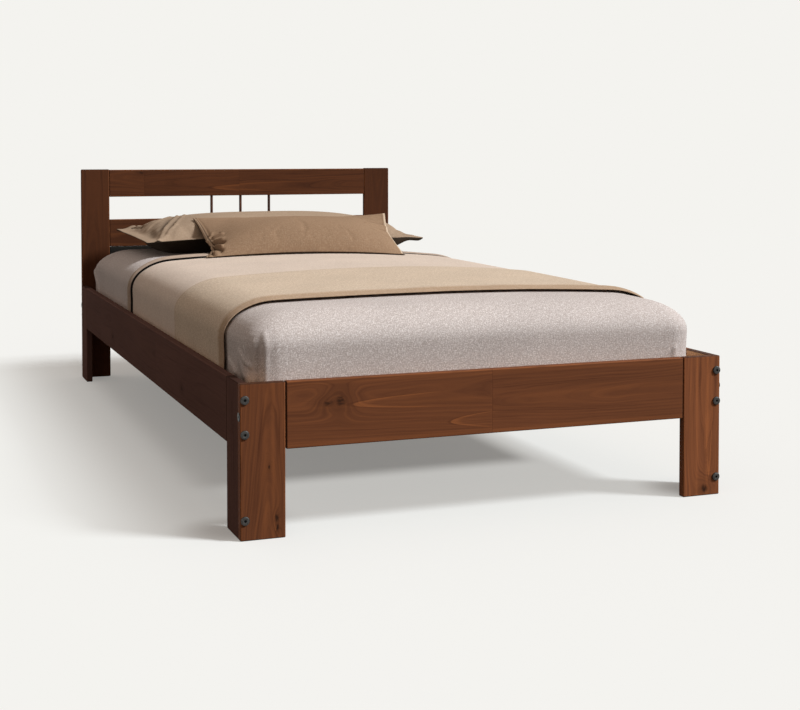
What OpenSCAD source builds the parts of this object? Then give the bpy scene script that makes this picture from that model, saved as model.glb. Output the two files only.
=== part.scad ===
// Low wooden bed with a slatted base, a three-spindle headboard, a mattress and its bedding.
// The foot of the bed points to -Y, the head to +Y, and the floor is at Z = 0.

/* [Mattress] */
// Width of the mattress
mattress_w = 994; // [800:2:1200]
// Length of the mattress
mattress_l = 1994; // [1800:2:2100]
// Height of the mattress at its edge
mattress_t = 206; // [180:2:240]
// How far the middle of the mattress stands above its edge
mattress_crown = 22; // [6:1:40]
// How far in from its sides the rounded upper edge reaches
mattress_round_w = 100; // [60:5:140]
// How far down the rounded upper edge reaches
mattress_round_h = 60; // [30:5:80]
// Radius of the corners seen from above
mattress_corner_r = 60; // [40:5:90]
// Free play between the tucked bedding and each side rail
tuck_play = 2.2; // [1:0.1:10]
// Play between the mattress and the foot rail, and the same at the head
mattress_end_play = 22.5; // [12:0.5:40]

/* [Boards] */
// Thickness of every board of the frame
board_t = 18; // [16:1:24]
// Width of the two boards of each leg
leg_board_w = 89; // [80:1:110]
// Width of the tall head posts
post_w = 90; // [80:1:110]
// Width of the side rails, the foot rail and the head cross rail
rail_h = 130; // [110:2:150]
// Width of the two headboard rails
headboard_rail_h = 88; // [70:1:110]
// Eased edge along every board
edge_ease = 1.5; // [0.5:0.5:3]
// Open joint at each end of the foot rail and of the head cross rail
rail_end_gap = 2; // [0.5:0.5:4]

/* [Heights] */
// Height of the legs and of the top of the rails
leg_h = 300; // [260:5:340]
// Height of the head posts
post_h = 676; // [640:4:760]
// How far the top headboard rail lies below the top of the posts
headboard_drop = 1.5; // [0:0.5:6]
// Gap between the two headboard rails, crossed by the spindles
headboard_gap = 74; // [50:2:110]
// Gap between the lower headboard rail and the dark rail right under it
bottom_rail_gap = 1; // [0.5:0.5:2]

/* [Spindles] */
// Diameter of a spindle
spindle_d = 9; // [7:0.5:14]
// Distance between spindles
spindle_pitch = 99; // [60:1:140]
// Depth of a spindle in each headboard rail
spindle_seat = 12; // [8:1:20]
// Play round a spindle in its hole
spindle_play = 0.1; // [0.05:0.05:0.3]

/* [Slatted base] */
// Number of slats
slat_count = 14; // [10:1:18]
// Width of a slat
slat_w = 70; // [50:2:90]
// Thickness of a slat
slat_t = 18; // [14:1:22]
// Play between a slat's end and the side rail
slat_end_play = 2; // [1:0.5:6]
// Width of the ledger strips that carry the slats
ledger_w = 25; // [20:1:32]
// Height of the ledger strips
ledger_h = 25; // [20:1:28]
// Play between a ledger strip's end and the foot rail or head cross rail
ledger_end_play = 2; // [1:0.5:20]

/* [Connector bolts] */
// Diameter of a bolt's shank
bolt_d = 6; // [5:0.5:8]
// Diameter of a bolt's flat head
bolt_head_d = 17.5; // [14:0.5:20]
// Height of a bolt's head, which stands proud of the wood
bolt_head_t = 3.5; // [2.5:0.5:5]
// Width across the flats of the hexagon socket
bolt_hex_af = 5; // [4:0.5:6]
// Depth of the hexagon socket
bolt_hex_depth = 2.5; // [1.5:0.5:3]
// Height of the thin heads of the bolts in the sides of the legs
side_bolt_head_t = 1.2; // [1:0.1:2]
// Width across the flats of the hexagon socket in a thin head
side_bolt_hex_af = 4; // [3:0.5:4]
// Play round a bolt in its hole
bolt_play = 0.3; // [0.2:0.1:0.6]
// Distance from the leg's top to the upper bolt
bolt_top_drop = 31; // [26:1:40]
// Distance between the two upper bolts
bolt_pitch = 66; // [54:1:72]
// Height of the lowest bolt above the floor
low_bolt_z = 39; // [30:1:60]

/* [Barrel nuts and dowels] */
// Diameter of a barrel nut
barrel_d = 10; // [9:0.5:12]
// Distance from a board's end to the barrel nut in it
barrel_inset = 38; // [30:1:50]
// Wood left under a barrel nut's blind hole
barrel_skin = 2; // [1.5:0.5:3]
// Play round a barrel nut
barrel_play = 0.2; // [0.1:0.1:0.4]
// Play round a bolt's thread in its nut
thread_play = 0.1; // [0.05:0.05:0.2]
// Diameter of a wood dowel
dowel_d = 8; // [6:1:8]
// Length of a dowel between two boards end to edge
dowel_l = 40; // [30:2:50]
// Depth of a leg dowel in the face board
leg_dowel_face_depth = 11; // [8:1:13]
// Depth of a leg dowel in the side board
leg_dowel_edge_depth = 21; // [16:1:30]
// Play round a dowel and past its ends
dowel_play = 0.1; // [0.05:0.05:0.3]
// Height of the lower leg dowel above the floor
leg_dowel_z = 90; // [80:2:100]
// Distance between the two dowels of a leg
leg_dowel_pitch = 60; // [40:2:70]
// Distance between the two dowels of a headboard rail's end
headboard_dowel_pitch = 46; // [30:2:54]

/* [Screws] */
// Diameter of a screw's shank
screw_d = 4; // [3:0.5:5]
// Diameter of a screw's countersunk head
screw_head_d = 8; // [7:0.5:9]
// Height of a screw's head
screw_head_t = 3; // [2:0.5:4]
// Play round a screw
screw_play = 0.1; // [0.05:0.05:0.2]
// Depth of a slat screw in the ledger strip
slat_screw_bite = 12; // [10:1:16]
// Depth of a ledger screw in the side rail
ledger_screw_bite = 11; // [8:1:13]
// Every how many gaps between slats a ledger screw stands
ledger_screw_step = 3; // [2:1:4]
// Width of a slot of the cross recess in a screw's head
screw_slot_w = 0.9; // [0.6:0.1:1.2]
// Length of a slot of the cross recess
screw_slot_l = 4; // [3:0.5:5]
// Depth of the cross recess
screw_slot_depth = 1.2; // [0.8:0.2:1.6]

/* [Bedding] */
// Thickness of the fitted sheet
sheet_t = 1.2; // [0.8:0.2:2]
// Play between the mattress and the sheet over it
sheet_play = 0.3; // [0.2:0.1:0.5]
// How far the sheet's hem turns under the mattress
sheet_hem = 30; // [15:5:60]
// Thickness of the coverlet
coverlet_t = 4; // [3:0.5:6]
// Thickness of the folded throw
throw_t = 5.5; // [4:0.5:8]
// Play between one layer of bedding and the next
layer_play = 0.4; // [0.3:0.1:0.6]
// How far coverlet and throw are tucked down below the tops of the rails
tuck_depth = 30; // [15:5:60]
// Distance from the mattress's foot to the throw
throw_from_foot = 195; // [120:5:400]
// Width of the folded throw along the bed
throw_w = 486; // [300:2:600]
// How far the coverlet ends inside the throw's foot edge
coverlet_hide = 25; // [10:5:60]
// Distance from the coverlet's head edge to the mattress's head
coverlet_from_head = 710; // [600:5:800]

/* [Pillows] */
// Width of the rear pillow across the bed
pillow_w = 856; // [700:4:940]
// Length of the rear pillow along the bed
pillow_l = 530; // [450:5:560]
// Distance from the rear pillow to the mattress's head
pillow_from_head = 35; // [25:5:80]
// Width of the rear pillow's flat flange
pillow_flange = 40; // [20:5:60]
// Thickness of the flange
pillow_flange_t = 5; // [3:1:8]
// How high the flange floats over the sheet at the pillow's front
pillow_edge_rise = 39; // [20:1:60]
// How much higher the flange floats at the headboard
pillow_back_rise = 31; // [0:1:50]
// Height of the rear pillow's filling above its flange
pillow_puff = 46; // [30:2:110]
// Width of the front cushion
cushion_w = 570; // [450:10:700]
// Length of the front cushion from its lower to its upper edge
cushion_l = 356; // [300:4:400]
// How far the front cushion's lower edge lies before the rear pillow
cushion_before_pillow = 253; // [220:1:300]
// Lean of the front cushion
cushion_lean = 14; // [8:0.2:18]
// Turn of the front cushion on the bed
cushion_turn = 8.6; // [0:0.2:12]
// Height of the front cushion's filling over its seam
cushion_puff = 45; // [30:1:70]
// Depth of the front cushion's filling behind its seam
cushion_back = 24; // [10:2:40]
// Thickness of the front cushion's seam
cushion_seam_t = 4; // [3:0.5:6]
// How high the middle of the front cushion's lower seam floats over the coverlet
cushion_seam_rise = 4; // [3:1:14]
// How far the lower corners hang below the middle of the lower seam
cushion_droop = 16; // [0:1:30]

/* [Hidden] */
SLATS = [for (i = [1 : slat_count]) str("slat_", i)];

// Smoothness of round pieces
$fn = 48;
// How far a cut runs past the face it opens
overrun = 1;
// How far a bolt's hole runs past the bolt's end
hole_spare = 3;
// Drawn-in middle of the mattress's sides
side_draw = 1.5;
// How far soft pieces stay clear of what they rest on
rest_play = 0.3;

wood = [0.36, 0.20, 0.13];
pine = [0.80, 0.64, 0.42];
dark_stain = [0.16, 0.10, 0.08];
steel = [0.20, 0.20, 0.21];
zinc = [0.62, 0.62, 0.60];
sheet_grey = [0.66, 0.61, 0.58];
ticking_white = [0.88, 0.87, 0.83];
coverlet_tan = [0.74, 0.65, 0.54];
throw_tan = [0.56, 0.43, 0.30];
pillow_tan = [0.66, 0.57, 0.46];
cushion_tan = [0.62, 0.50, 0.37];

// The bed is sized round its mattress and the bedding tucked beside it
tuck_stack = sheet_play + sheet_t + layer_play + coverlet_t + layer_play + throw_t;
inner_w = mattress_w + 2 * (tuck_stack + tuck_play);
inner_l = mattress_l + 2 * mattress_end_play;
bed_w = inner_w + 2 * board_t;
bed_l = inner_l + 2 * board_t;
foot_y = -bed_l / 2;
head_y = bed_l / 2;
rail_z = leg_h - rail_h;
side_board_y = foot_y + board_t;
side_rail_y = side_board_y + leg_board_w;
side_rail_l = bed_l - 2 * (board_t + leg_board_w);
foot_rail_l = bed_w - 2 * (leg_board_w + rail_end_gap);
head_rail_l = bed_w - 2 * (post_w + rail_end_gap);
headboard_rail_l = bed_w - 2 * post_w;
top_rail_z = post_h - headboard_drop - headboard_rail_h;
lower_rail_z = top_rail_z - headboard_gap - headboard_rail_h;
bottom_rail_z = lower_rail_z - bottom_rail_gap - headboard_rail_h;

ledger_l = inner_l - 2 * ledger_end_play;
ledger_top = rail_z + ledger_h;
slat_top = ledger_top + slat_t;
slat_l = inner_w - 2 * slat_end_play;
slat_space = (inner_l - slat_count * slat_w) / (slat_count + 1);
slat_pitch = slat_w + slat_space;
slat_y0 = -inner_l / 2 + slat_space;

// Bolts, nuts and dowels lie in the middle of the boards they run along
mid_t = board_t / 2;
bolt_x = bed_w / 2 - mid_t;
upper_bolt_zs = [leg_h - bolt_top_drop, leg_h - bolt_top_drop - bolt_pitch];
mid_bolt_z = leg_h - bolt_top_drop - bolt_pitch / 2;
leg_bolt_zs = concat(upper_bolt_zs, [low_bolt_z]);
leg_dowel_zs = [leg_dowel_z, leg_dowel_z + leg_dowel_pitch];
barrel_l = board_t - 2 * barrel_skin;
side_rail_bolt_l = board_t + leg_board_w + barrel_inset + barrel_d / 2;
low_bolt_l = board_t + barrel_inset + barrel_d / 2;
foot_bolt_l = leg_board_w + rail_end_gap + barrel_inset + barrel_d / 2;
head_bolt_l = post_w + rail_end_gap + barrel_inset + barrel_d / 2;
end_bolt_hole_l = barrel_inset + barrel_d / 2 + hole_spare;
headboard_dowel_zs = [for (z = [bottom_rail_z, lower_rail_z, top_rail_z], s = [-1, 1])
    z + headboard_rail_h / 2 + s * headboard_dowel_pitch / 2];

// The soft pieces follow the mattress's own outline
half_w = mattress_w / 2;
half_l = mattress_l / 2;
mattress_z = slat_top + rest_play + sheet_play + sheet_t;
mattress_side_top = mattress_z + mattress_t - mattress_round_h;
mattress_flat_top = mattress_z + mattress_t;
sheet_lift = sheet_play + sheet_t;
coverlet_lift = sheet_lift + layer_play;
throw_lift = coverlet_lift + coverlet_t + layer_play;
throw_y = -half_l + throw_from_foot;
coverlet_y = throw_y + coverlet_hide;
coverlet_end_y = half_l - coverlet_from_head;
pillow_y = half_l - pillow_from_head - pillow_l / 2;
cushion_reach = cushion_l / 2 * cos(cushion_lean);
cushion_y = pillow_y - pillow_l / 2 - cushion_before_pillow + cushion_reach;

// Steps of the soft surfaces
corner_steps = 4;
short_side_steps = 5;
long_side_steps = 9;
edge_angles = [22.5, 45, 67.5, 90];
top_shares = [0.25, 0.5, 0.75];
side_height_shares = [0, 0.5, 1];
cloth_steps = 10;
pillow_steps = [20, 14];
cushion_steps = [16, 12];
cloth_edge_share = 0.35;
pillow_pull_share = 0.03;
cushion_pull_share = 0.04;
cushion_low_fill_share = 0.83;
pillow_puff_powers = [4, 0.5];
cushion_puff_powers = [3.2, 0.87];
flange_crown_power = 2;

// Boards: a bar with four eased edges, laid along Z, X or Y from its lowest corner
function eased_outline(a, b) = [
    [edge_ease, 0], [a - edge_ease, 0], [a, edge_ease], [a, b - edge_ease],
    [a - edge_ease, b], [edge_ease, b], [0, b - edge_ease], [0, edge_ease]];

module board_z(at, x_size, y_size, len)
    translate(at) linear_extrude(len) polygon(eased_outline(x_size, y_size));

module board_x(at, y_size, z_size, len)
    translate(at) rotate([90, 0, 90]) linear_extrude(len) polygon(eased_outline(y_size, z_size));

module board_y(at, x_size, z_size, len)
    translate(at) translate([0, 0, z_size]) rotate([-90, 0, 0])
        linear_extrude(len) polygon(eased_outline(x_size, z_size));

// Places on the bed's outer faces, with +Z turned into the wood
module from_foot(x, z) translate([x, foot_y, z]) rotate([-90, 0, 0]) children();
module from_head(x, z) translate([x, head_y, z]) rotate([90, 0, 0]) children();
module from_side(s, y, z) translate([s * bed_w / 2, y, z]) rotate([0, -s * 90, 0]) children();

// Both ends of the bed alike: the shape is drawn at the foot and mirrored to the head
module at_end(e) if (e < 0) children(); else mirror([0, 1, 0]) children();

// Holes and the pieces that fill them
module hole(d, len, play) translate([0, 0, -overrun]) cylinder(d = d + 2 * play, h = len + overrun);

module dowel(len) cylinder(d = dowel_d, h = len);

module dowel_hole(depth) hole(dowel_d, depth + dowel_play, dowel_play);

module connector_bolt(len, head_t, hex_af) color(steel) difference() {
    union() {
        translate([0, 0, -head_t]) cylinder(d = bolt_head_d, h = head_t);
        cylinder(d = bolt_d, h = len);
    }
    translate([0, 0, -head_t - overrun])
        cylinder(d = hex_af / cos(30), h = bolt_hex_depth + overrun, $fn = 6);
}

// A barrel nut lies along X, centred, with its threaded hole along Y
module barrel_nut() color(zinc) difference() {
    rotate([0, 90, 0]) cylinder(d = barrel_d, h = barrel_l, center = true);
    rotate([90, 0, 0]) cylinder(d = bolt_d + 2 * thread_play, h = barrel_d + 2 * overrun, center = true);
}

// The blind hole of a barrel nut, drilled from the board's inner face towards +X
module barrel_hole() translate([-barrel_l / 2 - barrel_skin - overrun, 0, 0]) rotate([0, 90, 0])
    cylinder(d = barrel_d + 2 * barrel_play, h = barrel_l + barrel_skin + overrun);

// A countersunk screw points along -Z with its head's top at Z = 0
module screw(len) color(zinc) difference() {
    union() {
        translate([0, 0, -screw_head_t])
            cylinder(d1 = screw_d, d2 = screw_head_d, h = screw_head_t);
        translate([0, 0, -len]) cylinder(d = screw_d, h = len - screw_head_t);
    }
    for (a = [0, 90]) rotate([0, 0, a])
        translate([-screw_slot_l / 2, -screw_slot_w / 2, -screw_slot_depth])
            cube([screw_slot_l, screw_slot_w, screw_slot_depth + overrun]);
}

module screw_hole(len) {
    translate([0, 0, -len - screw_play])
        cylinder(d = screw_d + 2 * screw_play, h = len + screw_play + overrun);
    translate([0, 0, -screw_head_t])
        cylinder(d1 = screw_d + 2 * screw_play, d2 = screw_head_d + 2 * screw_play, h = screw_head_t);
    cylinder(d = screw_head_d + 2 * screw_play, h = overrun);
}

// The legs' face boards: the front board of a foot leg, and the tall post of the headboard
module face_board(s, w, h, headboard) color(wood) difference() {
    board_z([s < 0 ? -bed_w / 2 : bed_w / 2 - w, foot_y, 0], w, board_t, h);
    for (z = leg_bolt_zs) from_foot(s * bolt_x, z) hole(bolt_d, board_t + overrun, bolt_play);
    from_side(s, foot_y + mid_t, mid_bolt_z) hole(bolt_d, w + overrun, bolt_play);
    for (z = leg_dowel_zs) translate([s * bolt_x, side_board_y, z]) rotate([90, 0, 0])
        dowel_hole(leg_dowel_face_depth);
    for (z = upper_bolt_zs) translate([s * (bed_w / 2 - w), foot_y + mid_t, z]) rotate([0, s * 90, 0])
        dowel_hole(dowel_l / 2 - rail_end_gap / 2);
    if (headboard) for (z = headboard_dowel_zs)
        translate([s * (bed_w / 2 - w), foot_y + mid_t, z]) rotate([0, s * 90, 0])
            dowel_hole(dowel_l / 2);
}

module foot_leg_front_board(s) face_board(s, leg_board_w, leg_h, false);

module head_post(s) at_end(1) face_board(s, post_w, post_h, true);

// The side board of a leg stands behind the face board and carries the side rail
module leg_side_board(s, e) color(wood) at_end(e) difference() {
    board_z([s < 0 ? -bed_w / 2 : bed_w / 2 - board_t, side_board_y, 0], board_t, leg_board_w, leg_h);
    translate([s * bolt_x, side_board_y, 0]) {
        for (z = upper_bolt_zs) translate([0, 0, z]) rotate([-90, 0, 0])
            hole(bolt_d, leg_board_w + overrun, bolt_play);
        translate([0, 0, low_bolt_z]) rotate([-90, 0, 0]) hole(bolt_d, end_bolt_hole_l, bolt_play);
        translate([0, barrel_inset, low_bolt_z]) mirror([s < 0 ? 1 : 0, 0, 0]) barrel_hole();
        for (z = leg_dowel_zs) translate([0, 0, z]) rotate([-90, 0, 0])
            dowel_hole(leg_dowel_edge_depth);
        translate([0, leg_board_w, mid_bolt_z]) rotate([90, 0, 0]) dowel_hole(dowel_l / 2);
    }
}

// One end of a side rail: two bolts into barrel nuts and a dowel between them
module side_rail_end_cuts(s) translate([s * bolt_x, side_rail_y, 0]) {
    for (z = upper_bolt_zs) {
        translate([0, 0, z]) rotate([-90, 0, 0]) hole(bolt_d, end_bolt_hole_l, bolt_play);
        translate([0, barrel_inset, z]) mirror([s < 0 ? 1 : 0, 0, 0]) barrel_hole();
    }
    translate([0, 0, mid_bolt_z]) rotate([-90, 0, 0]) dowel_hole(dowel_l / 2);
}

function slat_mid_y(i) = slat_y0 + slat_w / 2 + i * slat_pitch;
function gap_mid_y(i) = slat_y0 + slat_w + slat_space / 2 + i * slat_pitch;
function ledger_screw_ys() = [for (i = [0 : ledger_screw_step : slat_count - 2]) gap_mid_y(i)];

// Ledger screws run from the ledger's inner face into the side rail
module at_ledger_screws(s) for (y = ledger_screw_ys())
    translate([s * (inner_w / 2 - ledger_w), y, rail_z + ledger_h / 2]) rotate([0, -s * 90, 0])
        children();

module side_rail(s) color(wood) difference() {
    board_y([s < 0 ? -bed_w / 2 : inner_w / 2, side_rail_y, rail_z], board_t, rail_h, side_rail_l);
    for (e = [-1, 1]) at_end(e) side_rail_end_cuts(s);
    at_ledger_screws(s) screw_hole(ledger_w + ledger_screw_bite);
}

// The foot rail and the head cross rail stand between the face boards, flush with them
module end_rail(len) color(wood) difference() {
    board_x([-len / 2, foot_y, rail_z], board_t, rail_h, len);
    for (s = [-1, 1]) translate([s * len / 2, foot_y + mid_t, 0]) {
        translate([0, 0, mid_bolt_z]) rotate([0, -s * 90, 0])
            hole(bolt_d, end_bolt_hole_l, bolt_play);
        translate([-s * barrel_inset, 0, mid_bolt_z]) rotate([0, 0, -90]) barrel_hole();
        for (z = upper_bolt_zs) translate([0, 0, z]) rotate([0, -s * 90, 0])
            dowel_hole(dowel_l / 2 - rail_end_gap / 2);
    }
}

module foot_rail() end_rail(foot_rail_l);

module head_cross_rail() at_end(1) end_rail(head_rail_l);

// A headboard rail is held by two dowels at each end
module headboard_rail(z) difference() {
    board_x([-headboard_rail_l / 2, head_y - board_t, z], board_t, headboard_rail_h, headboard_rail_l);
    for (s = [-1, 1], p = [-1, 1])
        translate([s * headboard_rail_l / 2, head_y - mid_t,
                   z + headboard_rail_h / 2 + p * headboard_dowel_pitch / 2])
            rotate([0, -s * 90, 0]) dowel_hole(dowel_l / 2);
}

// The two upper headboard rails take the spindles between them
module spindle_holes(z) for (i = [-1 : 1]) translate([i * spindle_pitch, head_y - mid_t, z])
    cylinder(d = spindle_d + 2 * spindle_play, h = 2 * (spindle_seat + dowel_play), center = true);

module headboard_top_rail() color(wood) difference() {
    headboard_rail(top_rail_z);
    spindle_holes(top_rail_z);
}

module headboard_lower_rail() color(wood) difference() {
    headboard_rail(lower_rail_z);
    spindle_holes(lower_rail_z + headboard_rail_h);
}

module headboard_bottom_rail() color(dark_stain) headboard_rail(bottom_rail_z);

module spindle(i) color(dark_stain)
    translate([i * spindle_pitch, head_y - mid_t, top_rail_z - headboard_gap - spindle_seat])
        cylinder(d = spindle_d, h = headboard_gap + 2 * spindle_seat);

module ledger(s) color(pine) difference() {
    board_y([s < 0 ? -inner_w / 2 : inner_w / 2 - ledger_w, -ledger_l / 2, rail_z],
            ledger_w, ledger_h, ledger_l);
    at_ledger_screws(s) screw_hole(ledger_w + ledger_screw_bite);
    at_slat_screws([s], [0 : slat_count - 1]) screw_hole(slat_t + slat_screw_bite);
}

// Slat screws stand over the middle of each ledger strip
module at_slat_screws(sides, slats) for (s = sides, i = slats)
    translate([s * (inner_w / 2 - ledger_w / 2), slat_mid_y(i), slat_top]) children();

module slat(i) color(pine) difference() {
    board_x([-slat_l / 2, slat_mid_y(i) - slat_w / 2, ledger_top], slat_w, slat_t, slat_l);
    at_slat_screws([-1, 1], [i]) screw_hole(slat_t + overrun);
}

// Fasteners, each kind one group of separate solids
module leg_to_side_rail_bolts() for (e = [-1, 1], s = [-1, 1], z = upper_bolt_zs)
    at_end(e) from_foot(s * bolt_x, z)
        connector_bolt(side_rail_bolt_l, bolt_head_t, bolt_hex_af);

module leg_to_end_rail_bolts() for (e = [-1, 1], s = [-1, 1])
    at_end(e) from_side(s, foot_y + mid_t, mid_bolt_z)
        connector_bolt(e < 0 ? foot_bolt_l : head_bolt_l, side_bolt_head_t, side_bolt_hex_af);

module low_leg_bolts() for (e = [-1, 1], s = [-1, 1])
    at_end(e) from_foot(s * bolt_x, low_bolt_z)
        connector_bolt(low_bolt_l, bolt_head_t, bolt_hex_af);

module side_rail_barrel_nuts() for (e = [-1, 1], s = [-1, 1], z = upper_bolt_zs)
    at_end(e) translate([s * bolt_x, side_rail_y + barrel_inset, z]) barrel_nut();

module end_rail_barrel_nuts() for (e = [-1, 1], s = [-1, 1])
    at_end(e) translate([s * ((e < 0 ? foot_rail_l : head_rail_l) / 2 - barrel_inset),
                         foot_y + mid_t, mid_bolt_z]) rotate([0, 0, 90]) barrel_nut();

module leg_barrel_nuts() for (e = [-1, 1], s = [-1, 1])
    at_end(e) translate([s * bolt_x, side_board_y + barrel_inset, low_bolt_z]) barrel_nut();

module leg_dowels() color(pine) for (e = [-1, 1], s = [-1, 1], z = leg_dowel_zs)
    at_end(e) translate([s * bolt_x, side_board_y - leg_dowel_face_depth, z]) rotate([-90, 0, 0])
        dowel(leg_dowel_face_depth + leg_dowel_edge_depth);

module side_rail_dowels() color(pine) for (e = [-1, 1], s = [-1, 1])
    at_end(e) translate([s * bolt_x, side_rail_y - dowel_l / 2, mid_bolt_z]) rotate([-90, 0, 0])
        dowel(dowel_l);

module end_rail_dowels() color(pine) for (e = [-1, 1], s = [-1, 1], z = upper_bolt_zs)
    at_end(e) translate([s * ((e < 0 ? foot_rail_l : head_rail_l) + rail_end_gap) / 2,
                         foot_y + mid_t, z])
        rotate([0, 90, 0]) translate([0, 0, -dowel_l / 2]) dowel(dowel_l);

module headboard_dowels() color(pine) for (s = [-1, 1], z = headboard_dowel_zs)
    translate([s * headboard_rail_l / 2, head_y - mid_t, z])
        rotate([0, 90, 0]) translate([0, 0, -dowel_l / 2]) dowel(dowel_l);

module slat_screws() at_slat_screws([-1, 1], [0 : slat_count - 1]) screw(slat_t + slat_screw_bite);

module ledger_screws() for (s = [-1, 1]) at_ledger_screws(s) screw(ledger_w + ledger_screw_bite);

// Soft surfaces
function crown_at(x, y) = mattress_crown * max(0, 1 - pow(x / half_w, 2)) * max(0, 1 - pow(y / half_l, 2));

// How far the rounded edge has dropped at a distance in from the side
function round_drop(d) = d >= mattress_round_w ? 0 :
    mattress_round_h * (1 - sqrt(max(0, 1 - pow(1 - max(0, d) / mattress_round_w, 2))));

// Height of the mattress's upper surface, before any bedding
function deck_z(x, y) = let (drop = round_drop(half_w - abs(x)) + round_drop(half_l - abs(y)))
    mattress_flat_top - drop + crown_at(x, y) * max(0, 1 - drop / mattress_round_h);

// The section from the side to the middle as [distance in, height, outward share, upward share]
function side_stops(low_z) = [for (k = side_height_shares)
    [side_draw * 4 * k * (1 - k), low_z + (mattress_side_top - low_z) * k, 1, 0]];
function edge_stops() = [for (a = edge_angles)
    [mattress_round_w * (1 - cos(a)), mattress_side_top + mattress_round_h * sin(a), cos(a), sin(a)]];
function top_stops() = [for (k = top_shares)
    [mattress_round_w + (half_w - mattress_round_w) * k, mattress_flat_top, 0, 1]];
function section_stops(low_z) = concat(side_stops(low_z), edge_stops(), top_stops());

// Points round the mattress at one stop of the section
function corner_arc(cx, cy, r, a0) = [for (k = [0 : corner_steps])
    let (a = a0 + 90 * k / corner_steps) [cx + r * cos(a), cy + r * sin(a)]];
function between(p, q, n) = [for (k = [1 : n]) p + (q - p) * k / (n + 1)];
function ring_outline(hx, hy) = let (
        r = min(mattress_corner_r, hx / 2),
        arcs = [corner_arc(hx - r, hy - r, r, 0), corner_arc(r - hx, hy - r, r, 90),
                corner_arc(r - hx, r - hy, r, 180), corner_arc(hx - r, r - hy, r, 270)])
    [for (i = [0 : 3]) each concat(arcs[i],
        between(arcs[i][corner_steps], arcs[(i + 1) % 4][0],
                i % 2 == 0 ? short_side_steps : long_side_steps))];
function ring(stop, lift) = let (out = stop[2] * lift - stop[0])
    [for (p = ring_outline(half_w + out, half_l + out))
        [p.x, p.y, stop[1] + stop[3] * (lift + crown_at(p.x, p.y))]];
ring_n = 4 * (corner_steps + 1) + 2 * (short_side_steps + long_side_steps);

// Faces between rings, seen clockwise from outside; turned where flip is true
function turned(f, flip) = flip ? [f[2], f[1], f[0]] : f;
function wall_faces(n_rings, base, flip) = [for (j = [0 : n_rings - 2], k = [0 : ring_n - 1])
    let (a = base + j * ring_n + k, b = base + j * ring_n + (k + 1) % ring_n)
    each [turned([a, a + ring_n, b + ring_n], flip), turned([a, b + ring_n, b], flip)]];
// A ring is closed by a ridge along its middle, one point for each station of its long sides
ridge_n = long_side_steps + 2;
ridge_start = 2 * corner_steps + short_side_steps + 1;
function ridge(outline) = [for (j = [0 : ridge_n - 1]) let (p = outline[ridge_start + j])
    [0, p.y, p.z + crown_at(0, p.y) - crown_at(p.x, p.y)]];
function flat_ridge(outline) = [for (j = [0 : ridge_n - 1]) let (p = outline[ridge_start + j])
    [0, p.y, p.z]];
function cap_faces(base, ridge_base, flip) = let (
        end = ridge_start, half = end + ridge_n - 1, last = ring_n - ridge_n + 1,
        left = [for (j = [0 : ridge_n - 1]) base + end + j],
        right = [for (j = [0 : ridge_n - 1]) base + (ring_n - j) % ring_n],
        mid = [for (j = [0 : ridge_n - 1]) ridge_base + j])
    concat(
        [for (j = [0 : ridge_n - 2], s = [[left, mid], [mid, right]])
            each [turned([s[0][j], s[1][j], s[1][j + 1]], flip),
                  turned([s[0][j], s[1][j + 1], s[0][j + 1]], flip)]],
        [for (k = [0 : end - 1]) turned([mid[0], base + k + 1, base + k], flip)],
        [for (k = [half : last - 1]) turned([mid[ridge_n - 1], base + k + 1, base + k], flip)]);

module mattress() color(ticking_white) {
    rings = [for (s = section_stops(mattress_z)) ring(s, 0)];
    n = len(rings);
    walls = n * ring_n;
    polyhedron([for (r = concat(rings, [ridge(rings[n - 1]), flat_ridge(rings[0])])) each r],
        concat(wall_faces(n, 0, false), cap_faces(walls - ring_n, walls, false),
               cap_faces(0, walls + ridge_n, true)));
}

// The fitted sheet is a skin over the mattress whose hem turns under it
function sheet_rings(lift) = concat(
    [ring([sheet_hem, mattress_z - lift, 0, 0], lift), ring([0, mattress_z - lift, 1, 0], lift)],
    [for (s = section_stops(mattress_z)) ring(s, lift)]);

module fitted_sheet() color(sheet_grey) {
    outer = sheet_rings(sheet_lift);
    inner = sheet_rings(sheet_play);
    n = len(outer);
    half = n * ring_n;
    ridges = [ridge(outer[n - 1]), ridge(inner[n - 1])];
    polyhedron([for (r = concat(outer, inner, ridges)) each r],
        concat(wall_faces(n, 0, false), cap_faces(half - ring_n, 2 * half, false),
               wall_faces(n, half, true), cap_faces(2 * half - ring_n, 2 * half + ridge_n, true),
               [for (k = [0 : ring_n - 1]) let (l = (k + 1) % ring_n)
                   each [[k, l, half + l], [k, half + l, half + k]]]));
}

// A closed sheet between two grids of points, rows running along +Y and columns along +X
module slab_mesh(top, under) {
    m = len(top) - 1;
    n = len(top[0]) - 1;
    c = n + 1;
    u = (m + 1) * c;
    polyhedron([for (r = concat(top, under)) each r], concat(
        [for (j = [0 : m - 1], i = [0 : n - 1]) let (a = j * c + i)
            each [[a, a + c, a + c + 1], [a, a + c + 1, a + 1],
                  [u + a + c + 1, u + a + c, u + a], [u + a + 1, u + a + c + 1, u + a]]],
        [for (i = [0 : n - 1]) let (a = i, b = m * c + i)
            each [[a, a + 1, u + a + 1], [a, u + a + 1, u + a],
                  [b, u + b + 1, b + 1], [b, u + b, u + b + 1]]],
        [for (j = [0 : m - 1]) let (a = j * c, b = j * c + n)
            each [[a + c, a, u + a], [a + c, u + a, u + a + c],
                  [b, b + c, u + b + c], [b, u + b + c, u + b]]]));
}

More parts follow.
